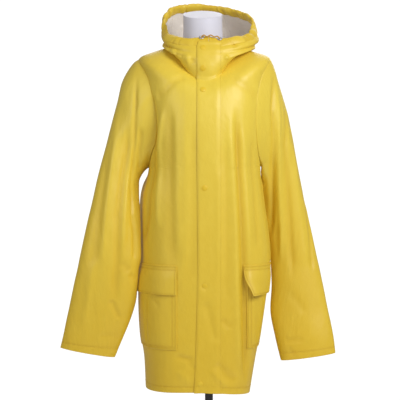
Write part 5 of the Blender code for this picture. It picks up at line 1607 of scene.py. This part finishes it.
@dataclass
class StormFlap:
    """The double strip over the closure, from the hem to the throat."""

    body: Body
    hood: Hood
    stitched_x: float = 31.0
    free_edge: tuple[tuple[float, float], ...] = (
        (565, -38), (700, -33), (900, -29), (1100, -31), (1350, -32), (1440, -32),
    )
    thick: float = 1.7
    layer: float = 0.4
    crease_stand: float = 1.0
    hood_from: float = 0.25  # the hood's row at which it starts to lie on the hood
    hood_step: float = 2.4
    bridge_passes: int = 60  # of smoothing where it passes over the neck's seam
    stand_rows: float = 3  # over how many rows it stands off there, is smoothed, and has even normals
    bridge_rows: float = 15
    even_rows: float = 5
    fixed_share: float = 0.72  # from where across it the stitched edge keeps its place
    top_turns: tuple[float, ...] = (160, 148, 136, 124, 112, 100, 93, 90)
    columns: int = 20
    lift: float = 0.6  # how far the free edge stands off between two studs
    hem_lift: float = 2.4  # and at the hem
    lift_share: float = 0.34  # of its width that stands off
    least_lift: float = 0.12  # the share of the lift left at a stud
    hem_curl: tuple[float, float] = (20.0, 26.0)  # how far below the lowest stud it curls most, half width
    seam_thin: tuple[float, float, float] = (0.9, 0.78, 0.18)  # thinner by this where stitched, start, reach
    free_thin: tuple[float, float] = (0.45, 0.1)  # how much thinner at the free edge, and up to where
    rows_at: tuple[float, float] = (0.05, 0.955)  # of stitches, as shares of its width
    stud_span: float = 240.0  # between studs, for the whole lift
    stud_heights: tuple[float, ...] = (1426, 1373, 1319, 1075, 831, 586)
    surface: tuple[Grid, Grid] = field(init=False)
    lines: list[Grid] = field(default_factory=list)

    def edge_x(self, height: Any) -> Any:
        """x of the free edge at heights."""
        heights, places = zip(*self.free_edge)
        return np.interp(height, heights, places)

    def stations(self, heights: Grid, shares: Grid) -> Grid:
        """x across the flap at heights, from the free edge to the stitched one."""
        edge = self.edge_x(heights)
        return edge[:, None] + (self.stitched_x - edge)[:, None] * shares

    def sheet_points(self, shares: Grid) -> tuple[Grid, Grid, Grid]:
        """Points and normals that the flap lies on, and each row's stand off them."""
        coat, hood = self.body.coat, self.hood.hood
        last = hood.last()
        hood_rows = hood.fine_rows(self.hood_from, last, self.hood_step)[:-1]
        points, normals = [], []
        for loft, rows in ((coat, self.body.rows()), (hood, hood_rows)):
            turns = loft.turn_at(rows[:, None], self.stations(loft.front_height(rows), shares))
            some, facing = loft.patch(np.broadcast_to(rows[:, None], turns.shape), turns)
            points.append(some)
            normals.append(facing)
        crease = len(points[0]) - 1
        top = hood.turn_at(last, self.stations(hood.front_height(np.array([last])), shares)[0])
        shape = self.hood.rim_frame(top, peaked=False)
        for turn in self.top_turns:
            some, facing = self.hood.on_rim(shape, math.radians(turn))
            points.append(some[None])
            normals.append(facing[None])
        points, normals = np.concatenate(points), np.concatenate(normals)
        widths = self.stand_rows, self.bridge_rows, self.even_rows
        near_crease = [bump(np.arange(len(points)), crease, width) for width in widths]
        stand = self.layer + (self.crease_stand - self.layer) * near_crease[0]
        near = near_crease[1][:, None, None] * (1 - eased((shares - self.fixed_share) / 0.2))[None, :, None]
        points = points + (blurred(points, 0, self.bridge_passes) - points) * near
        near = np.maximum(near, near_crease[2][:, None, None])
        normals = unit(normals + (unit(blurred(normals, 0, self.bridge_passes // 3)) - normals) * near)
        return points, normals, stand

    def edge_lift(self, points: Grid, shares: Grid) -> Grid:
        """How far the free edge stands off: most between two studs, and not at a stud."""
        height = points[:, 0, 2]
        marks = np.array(sorted(self.stud_heights))
        above = np.clip(np.searchsorted(marks, height), 1, len(marks) - 1)
        low, high = marks[above - 1], marks[above]
        share = np.clip((height - low) / (high - low), 0, 1)
        span = np.clip((high - low) / self.stud_span, 0.2, 1)
        wave = np.sin(math.pi * share) ** 2 * span + self.least_lift
        below, half_width = self.hem_curl
        wave = self.lift * wave + self.hem_lift * bump(height, marks[0] - below, half_width)
        return wave[:, None] * np.clip(1 - shares / self.lift_share, 0, 1)[None] ** 2

    def place_of(self, height: float, inset: float) -> tuple[Grid, Grid]:
        """The point of its face at a height and a distance in from the free edge, and the normal."""
        face, normals = self.surface
        rows = slice(4, 6 - len(self.top_turns) * 2)
        column = closest(face[len(face) // 2, :, 0] - self.edge_x(height), inset)
        heights = face[rows, column, 2]
        place, axis = (
            np.array([np.interp(height, heights, grid[rows, column, k]) for k in range(3)])
            for grid in (face, normals)
        )
        return place, unit(axis)

    def build(self, wardrobe: Wardrobe) -> None:
        """Makes the flap."""
        shares = ends_close(self.columns, 0.012)
        points, normals, stand = self.sheet_points(shares)
        less, start, reach = self.seam_thin
        thin = 1 - less * eased((shares - start) / reach)
        less, reach = self.free_thin
        thin = (thin * (1 - less * eased(1 - shares / reach)))[None]
        thick = self.thick * thin * np.ones((len(points), 1))
        lift = self.edge_lift(points, shares) + stand[:, None] * thin**2 + thick
        face, back = walled(points + normals * lift[..., None], normals, thick)
        self.surface = face, normals
        low = closest(points[:, 0, 2], BODY_RINGS[0].z_front + self.body.hem_fold)
        free, fixed = (closest(shares, share) for share in self.rows_at)
        for place in ((slice(4, -10), free), (slice(4, -24), fixed), (low, slice(2, -2))):
            self.lines.append(face[place] + normals[place] * STITCH_STAND)
        cloth = Cloth("storm_flap", face, back)
        hang(cloth, wardrobe.double)


@dataclass
class Pocket:
    """A patch pocket low on a front, and its flap."""

    body: Body
    side: Side
    inner_x: tuple[tuple[float, float], ...]
    span: float  # share of the way from the pocket's inner edge to the side seam
    width: float  # of its cut, in metres
    bottom: float = 670.0
    mouth: float = 848.0
    flap_bottom: float = 808.0
    flap_top: float = 882.0
    thick: float = 2.0
    layer: float = 0.4
    fullness: float = 2.4  # how far the bag's middle stands off more than its edges
    flap_stand: float = 3.5
    flap_wave: float = 0.35  # the share by which the flap's stand changes across it
    corner_lift: float = 0.0  # how far the flap's inner lower corner curls off
    corner_cut: float = 0.0  # and the share of the flap's width that it is folded in by
    flap_beyond: float = 0.0  # how far the flap reaches beyond the bag, towards the front
    rows_at: tuple[float, float] = (0.022, 0.062)  # of stitches, as shares in from the bag's edges
    flap_rows_at: tuple[float, float, float] = (0.93, 0.86, 0.06)  # and as shares of the flap's height
    flap_ripple: float = 11.0  # radians of its wave across it
    flap_ease: float = 0.6  # less stand at its lower edge
    flap_hinge: float = 0.45  # share of its height over which it leaves the pocket
    lines: list[Grid] = field(default_factory=list)

    def turns(self, rows: Grid, shares: Grid, beyond: float = 0.0) -> Grid:
        """Turns across the pocket at rows; shares may differ from row to row."""
        heights, places = zip(*self.inner_x)
        coat = self.body.coat
        inner = np.interp(coat.front_height(rows), heights, places) - beyond * self.side.value
        start = coat.turn_at(rows, inner)
        end = self.body.armhole(self.side).edge(rows, ahead=True)
        return start[:, None] + (end - start)[:, None] * self.span * shares

    def bag(self, wardrobe: Wardrobe) -> None:
        """The patch, with a double row of stitches at its sides and bottom."""
        coat = self.body.coat
        up, shares = ends_close(40, 0.004), ends_close(44, 0.004)
        rows = coat.row_at(self.bottom + (self.mouth - self.bottom) * up)
        turns = self.turns(rows, np.broadcast_to(shares, (len(rows), len(shares))))
        points, normals = coat.patch(np.broadcast_to(rows[:, None], turns.shape), turns)
        middle = np.sin(math.pi * shares)[None] * np.sin(math.pi * np.clip(up * 0.8 + 0.1, 0, 1))[:, None]
        stand = self.layer + self.thick + self.fullness * middle * eased(up)[:, None]
        face, back = walled(points + normals * stand[..., None], normals, self.thick)
        for inset in self.rows_at:
            column, low = closest(shares, inset), closest(up, inset)
            far = len(shares) - 1 - column
            for place in (
                (slice(low, None), column), (slice(low, None), far), (low, slice(column, far + 1)),
            ):
                self.lines.append(face[place] + normals[place] * STITCH_STAND)
        cloth = Cloth("pocket_" + self.side.word, face, back, seams=list(self.lines))
        hang(cloth, wardrobe.double)

    def flap(self, wardrobe: Wardrobe) -> None:
        """The flap over the mouth, free at its lower edge."""
        coat = self.body.coat
        up, shares = ends_close(20, 0.008), ends_close(48, 0.004)
        rows = coat.row_at(self.flap_bottom + (self.flap_top - self.flap_bottom) * up)
        cut = self.corner_cut * (1 - up)[:, None] ** 1.3
        table = cut + (1 - cut) * shares[None]
        turns = self.turns(rows, table, self.flap_beyond)
        points, normals = coat.patch(np.broadcast_to(rows[:, None], turns.shape), turns)
        clear = 2 * self.layer + self.thick
        droop = eased(1 - up)[:, None] ** 0.8
        wavy = 1 + self.flap_wave * np.sin(shares * self.flap_ripple + self.side.value)[None]
        stand = clear + (self.flap_stand * wavy - self.flap_ease) * droop
        stand = self.layer + (stand - self.layer) * eased((1 - up) / self.flap_hinge)[:, None]
        corner = (1 - shares)[None] ** 3 * (1 - up)[:, None] ** 1.5
        stand = stand + self.corner_lift * corner + self.thick
        face, back = walled(points + normals * stand[..., None], normals, self.thick)
        inner, wide = slice(3, -3), slice(2, -2)
        high, second, low = (closest(up, share) for share in self.flap_rows_at)
        lines = [
            face[place] + normals[place] * STITCH_STAND
            for place in ((high, wide), (second, wide), (low, inner), (inner, 3), (inner, -4))
        ]
        self.lines += lines
        cloth = Cloth("pocket_flap_" + self.side.word, face, back, seams=lines)
        hang(cloth, wardrobe.double)

    def build(self, wardrobe: Wardrobe) -> None:
        """Makes the patch and its flap."""
        self.bag(wardrobe)
        self.flap(wardrobe)


def shell(
    name: str, rings: Grid, loop: bool, finish: Material, crease: float = 50.0
) -> Object:
    """A piece through rings of points.

    Args:
        name: the piece's name.
        rings: the rings' points in millimetres, from the bottom up.
        loop: whether the last ring meets the first; otherwise the ends are closed.
        finish: its material.
        crease: the angle in degrees past which an edge is sharp.

    Returns:
        The object, with its place in its mesh.
    """
    count, sides = rings.shape[:2]
    faces: list[tuple[int, ...]] = []
    for ring in range(count if loop else count - 1):
        here, above = ring * sides, (ring + 1) % count * sides
        faces += [(here + k, here + (k + 1) % sides, above + (k + 1) % sides, above + k) for k in range(sides)]
    if not loop:
        faces += [tuple(reversed(range(sides))), tuple(range((count - 1) * sides, count * sides))]
    mesh = bpy.data.meshes.new(name)
    mesh.from_pydata((rings.reshape(-1, 3) * MM).tolist(), [], faces)
    mesh.materials.append(finish)
    mesh.shade_smooth()
    mesh.set_sharp_from_angle(angle=math.radians(crease))
    return linked(name, mesh)


def turned(
    name: str, profile: Sequence[tuple[float, float]], sides: int, loop: bool, finish: Material
) -> Object:
    """A turned piece about +Z, from (radius, height) points in millimetres, from the bottom up."""
    angles = np.linspace(0, 2 * math.pi, sides + 1)[:-1]
    rings = [[(r * math.cos(a), r * math.sin(a), z) for a in angles] for r, z in profile]
    return shell(name, np.array(rings), loop, finish)


def rounded_profile(*corners: tuple[float, float, float]) -> list[tuple[float, float]]:
    """A profile with its corners rounded: each is a radius, a height and the rounding's size."""
    points: list[tuple[float, float]] = []
    for number, (radius, height, size) in enumerate(corners):
        here = np.array([radius, height])
        if size == 0 or number in (0, len(corners) - 1):
            points.append((radius, height))
            continue
        before = np.array(corners[number - 1][:2])
        after = np.array(corners[number + 1][:2])
        start = here + (before - here) / np.linalg.norm(before - here) * size
        end = here + (after - here) / np.linalg.norm(after - here) * size
        for share in np.linspace(0, 1, 5):
            point = (1 - share) ** 2 * start + 2 * share * (1 - share) * here + share**2 * end
            points.append((float(point[0]), float(point[1])))
    return points


@dataclass
class Fasteners:
    """The capped press studs down the flap and the eyelets at the throat."""

    flap: StormFlap
    inset: float = 17.0
    stud_radius: float = 7.2
    stud_height: float = 2.6
    stud_clear: float = 0.2
    eyelets: tuple[tuple[str, float], ...] = (("eyelet_right", -21.0), ("eyelet_left", 30.0))
    eyelet_turn: float = 35.0
    eyelet_outer: float = 7.0
    eyelet_inner: float = 3.4
    eyelet_thick: float = 1.2

    def eyelet_place(self, x: float) -> tuple[Grid, Grid]:
        """Middle and axis of an eyelet on the channel's front."""
        hood = self.flap.hood
        turns = hood.hood.turn_at(np.array([hood.hood.last()]), x)
        points, axes = hood.on_rim(hood.rim_frame(turns), math.radians(self.eyelet_turn))
        return points[0] + axes[0] * 2 * self.flap.layer, axes[0]

    def studs(self, wardrobe: Wardrobe) -> None:
        """Six caps, each a shallow dome in a rolled ring."""
        r, h = self.stud_radius, self.stud_height
        rim = [(0.98, -0.6 / h), (1, 0.05), (0.99, 0.16), (0.94, 0.28), (0.87, 0.32)]
        rim += [(0.80, 0.29), (0.74, 0.32)]
        dome = [(0.72 * math.cos(a), 0.33 + 0.22 * math.sin(a)) for a in np.linspace(0.1, 1.5, 6)]
        profile = [(r * out, h * up) for out, up in (*rim, *dome)]
        places = [self.flap.place_of(height, self.inset) for height in self.flap.stud_heights]
        points = [point + axis * self.stud_clear for point, axis in places]
        nodes = [f"snap_{k}" for k in range(1, len(places) + 1)]
        pattern = turned("stud_pattern", profile, 30, False, wardrobe.stud)
        self.spread("press_studs", pattern, wardrobe.stud, points, [a for p, a in places], "yellow_snap", nodes)

    def rings(self, wardrobe: Wardrobe) -> None:
        """Two rolled metal eyelets."""
        middle, half = (self.eyelet_outer + self.eyelet_inner) / 2, (self.eyelet_outer - self.eyelet_inner) / 2
        profile = [
            (middle + half * math.cos(a), self.eyelet_thick * max(0.0, math.sin(a)))
            for a in np.linspace(2 * math.pi, 0, 15)[:-1]
        ][::-1]
        points, axes = zip(*(self.eyelet_place(x) for name, x in self.eyelets))
        pattern = turned("eyelet_pattern", profile, 36, True, wardrobe.silver)
        nodes = [name for name, x in self.eyelets]
        self.spread("eyelets", pattern, wardrobe.silver, points, axes, "silver", nodes)

    def spread(
        self, name: str, pattern: Object, finish: Material, points: Sequence[Grid],
        axes: Sequence[Grid], slot: str, nodes: Sequence[str],
    ) -> None:
        """Sets a pattern at each point, in place of the solids, and removes the pattern itself."""
        made = FittingTree(name, pattern, finish).set_at(name, points, axes)
        bpy.data.objects.remove(pattern, do_unlink=True)
        ride(made, slot, *nodes)

    def build(self, wardrobe: Wardrobe) -> None:
        """Makes the studs and the eyelets."""
        self.studs(wardrobe)
        self.rings(wardrobe)


@dataclass
class Drawcord:
    """The short stretch of cord between the eyelets."""

    fasteners: Fasteners
    radius: float = 1.5
    rise: tuple[float, ...] = (0.6, 5.5, 5.5, 5.0, 5.5, 5.5, 0.6)  # off the eyelets' plane
    wave: tuple[tuple[float, float], ...] = ((0.12, 1.0), (0.3, -2.0), (0.5, 3.0), (0.7, -1.0), (0.88, 1.0))
    points: int = 33

    def build(self, wardrobe: Wardrobe) -> None:
        """Makes the cord as a curve."""
        (start, start_axis), (end, end_axis) = (
            self.fasteners.eyelet_place(x) for name, x in self.fasteners.eyelets
        )
        route = [start + start_axis * self.rise[0]]
        for (share, up), rise in zip(self.wave, self.rise[1:-1]):
            route.append(start + (end - start) * share + start_axis * rise + np.array([0, 0, up]))
        route.append(end + end_axis * self.rise[-1])
        path = curve_through(route, np.linspace(0, len(route) - 1, self.points)) * MM
        curve = bpy.data.curves.new("drawcord_line", "CURVE")
        curve.dimensions = "3D"
        curve.bevel_depth = self.radius * MM
        curve.bevel_resolution = 4
        curve.use_fill_caps = True
        spline = curve.splines.new("POLY")
        spline.points.add(len(path) - 1)
        for place, point in zip(spline.points, path):
            place.co = (*point, 1.0)
        curve.materials.append(wardrobe.cord)
        piece = linked("drawcord_line", curve)
        ride(piece, "cord_yellow", "drawcord")


@dataclass
class DressForm:
    """The limbless form, its pole and its foot."""

    pole_radius: float = 10.5
    foot_radius: float = 175.0
    foot_thick: float = 9.0
    collar_radius: float = 22.0
    collar_top: float = 42.0
    gap: float = 0.3  # at both ends of the pole
    sides: int = 96

    def torso(self, wardrobe: Wardrobe) -> None:
        """One smooth shell, closed by a slanted top with a soft edge."""
        form = Loft(FORM_RINGS)
        rows = form.fine_rows(0.0, form.last(), 8.0)
        angles = np.linspace(-180, 180, self.sides + 1)[:-1]
        rings = form.smooth(*np.meshgrid(rows, angles, indexing="ij"))
        caps = [(rings[0], (0.8, 0.4, 0.1), 0.0), (rings[-1], (0.975, 0.9, 0.7, 0.4, 0.1), 1.6)]
        layers = []
        for edge, shares, crown in caps:
            centre = edge.mean(axis=0)
            layer = [centre + (edge - centre) * s + np.array([0, 0, crown * (1 - s) ** 0.5]) for s in shares]
            layers.append(np.array(layer))
        rings = np.concatenate([layers[0][::-1], rings, layers[1]])
        ride(shell("form_shell", rings, False, wardrobe.form, crease=60.0), "white_form", "form_torso")

    def stand(self, wardrobe: Wardrobe) -> None:
        """The pole and the round foot."""
        pole, foot, thick = self.pole_radius, self.foot_radius, self.foot_thick
        collar, top, bottom = self.collar_radius, self.collar_top, FORM_RINGS[0].z_front
        line = [(pole, top + self.gap), (pole, bottom - self.gap)]
        ride(turned("pole", line, 48, False, wardrobe.metal), "black_metal", "stand_pole")
        line = rounded_profile(
            (foot - 2, 0, 0),
            (foot, 1.5, 0.8),
            (foot, thick * 0.75, 2.0),
            (foot - 4, thick, 2.0),
            (collar + 14, thick + 3, 6.0),
            (collar, thick + 9, 4.0),
            (collar - 3, top, 1.5),
            (pole + 1, top, 0),
        )
        ride(turned("foot", line, 120, False, wardrobe.metal), "black_metal", "stand_base")

    def build(self, wardrobe: Wardrobe) -> None:
        """Makes the form and its stand."""
        self.torso(wardrobe)
        self.stand(wardrobe)


class Studio:
    """Camera, lights, floor and the white round them."""

    camera_place = (-0.0234, -3.0, 1.15)
    camera_aim = (-0.0234, 0.0, 1.04)
    lens = 103.9
    sensor = 36.0
    clip_end = 60.0
    light_tint, light_strength = (1.0, 0.95, 0.88, 1.0), 0.29  # of the white room as a source of light
    white_strength = 1.1  # and as it is seen
    floor_radius, floor_sides = 2.15, 96
    lamps = (  # name, place, aim, size, power and tint
        ("key", (1.5, -2.0, 2.5), (0.0, 0.0, 1.45), 1.4, 54.0, (1.0, 1.0, 0.98)),
        ("fill", (-2.2, -2.4, 2.2), (0.0, 0.0, 1.5), 1.4, 20.0, (1.0, 0.97, 0.93)),
        ("back_light", (0.4, 2.6, 2.6), (0.0, 0.0, 1.2), 2.2, 30.0, (1.0, 0.99, 0.97)),
    )

    @staticmethod
    def aimed(name: str, data: bpy.types.ID, place: Colour, aim: Colour) -> Object:
        """A camera or a lamp at a place, turned towards a point."""
        made = linked(name, data)
        made.location = place
        made.rotation_euler = (Vector(aim) - Vector(place)).to_track_quat("-Z", "Y").to_euler()
        return made

    def camera(self) -> None:
        """A camera at the chest's height, looking slightly down."""
        data = bpy.data.cameras.new("camera")
        data.lens, data.sensor_width, data.clip_end = self.lens, self.sensor, self.clip_end
        bpy.context.scene.camera = self.aimed("camera", data, self.camera_place, self.camera_aim)

    def lamp(self, name: str, place: Colour, aim: Colour, size: float, power: float, tint: Colour) -> None:
        """One soft square lamp."""
        data = bpy.data.lights.new(name, "AREA")
        data.shape, data.size, data.energy, data.color = "SQUARE", size, power, tint
        self.aimed(name, data, place, aim)

    def surroundings(self) -> None:
        """White all round: brighter where it is looked at than as a source of light."""
        world = bpy.data.worlds.new("white_room")
        bpy.context.scene.world = world
        world.use_nodes = True
        nodes, links = world.node_tree.nodes, world.node_tree.links
        out = nodes["World Output"]
        soft = nodes["Background"]
        soft.inputs["Color"].default_value = self.light_tint
        soft.inputs["Strength"].default_value = self.light_strength
        clear = nodes.new("ShaderNodeBackground")
        clear.inputs["Color"].default_value = (1.0, 1.0, 1.0, 1.0)
        clear.inputs["Strength"].default_value = self.white_strength
        path = nodes.new("ShaderNodeLightPath")
        mixed = nodes.new("ShaderNodeMixShader")
        links.new(path.outputs["Is Camera Ray"], mixed.inputs[0])
        links.new(soft.outputs[0], mixed.inputs[1])
        links.new(clear.outputs[0], mixed.inputs[2])
        links.new(mixed.outputs[0], out.inputs["Surface"])

    def floor(self) -> None:
        """A plain pale floor under the stand."""
        mesh = bpy.data.meshes.new("floor")
        count, r = self.floor_sides, self.floor_radius
        angles = np.linspace(0, 2 * math.pi, count + 1)[:-1]
        mesh.from_pydata([(r * math.cos(a), r * math.sin(a), 0.0) for a in angles], [], [tuple(range(count))])
        mesh.materials.append(PaleFloor().material())
        linked("floor", mesh)

    def build(self) -> None:
        """Sets everything up, with colours shown as they are."""
        bpy.context.scene.view_settings.view_transform = "Standard"
        self.camera()
        self.surroundings()
        self.floor()
        for lamp in self.lamps:
            self.lamp(*lamp)


def main() -> None:
    """Builds the scene, piece by piece."""
    logging.basicConfig(level=logging.INFO, format="%(name)s: %(message)s")
    Studio().build()
    wardrobe = Wardrobe()
    body = Body(Loft(BODY_RINGS, BODY_FOLDS, BODY_WAVES, seam=len(BODY_RINGS) - 1.0))
    hood = Hood(Loft(HOOD_RINGS, HOOD_FOLDS, HOOD_WAVES, seam=0.0, limit=4.5))
    flap = StormFlap(body, hood)
    fasteners = Fasteners(flap)
    Drawcord(fasteners).build(wardrobe)
    body.build(wardrobe)
    sleeves = Sleeves(body)
    sleeves.build(wardrobe)
    hood.build(wardrobe)
    flap.build(wardrobe)
    fasteners.build(wardrobe)
    pockets = [
        Pocket(body, Side.RIGHT, ((565, -81), (1250, -81)), 5 / 7, 0.166),
        Pocket(
            body, Side.LEFT, ((565, 97), (700, 96), (880, 94), (1000, 90)), 5 / 6, 0.157,
            corner_lift=13.0, corner_cut=0.11, flap_beyond=7.0,
        ),
    ]
    for pocket in pockets:
        pocket.build(wardrobe)
    DressForm().build(wardrobe)
    tree = StitchTree(wardrobe.thread)
    for name, lines in (
        ("hem_stitches", body.hem_lines),
        ("cuff_stitches", sleeves.lines),
        ("flap_stitches", flap.lines),
        ("hood_stitches", hood.lines),
        ("pocket_stitches", [line for pocket in pockets for line in pocket.lines]),
    ):
        ride(tree.lay(name, lines), "yellow_cloth")


if __name__ == "__main__":
    main()
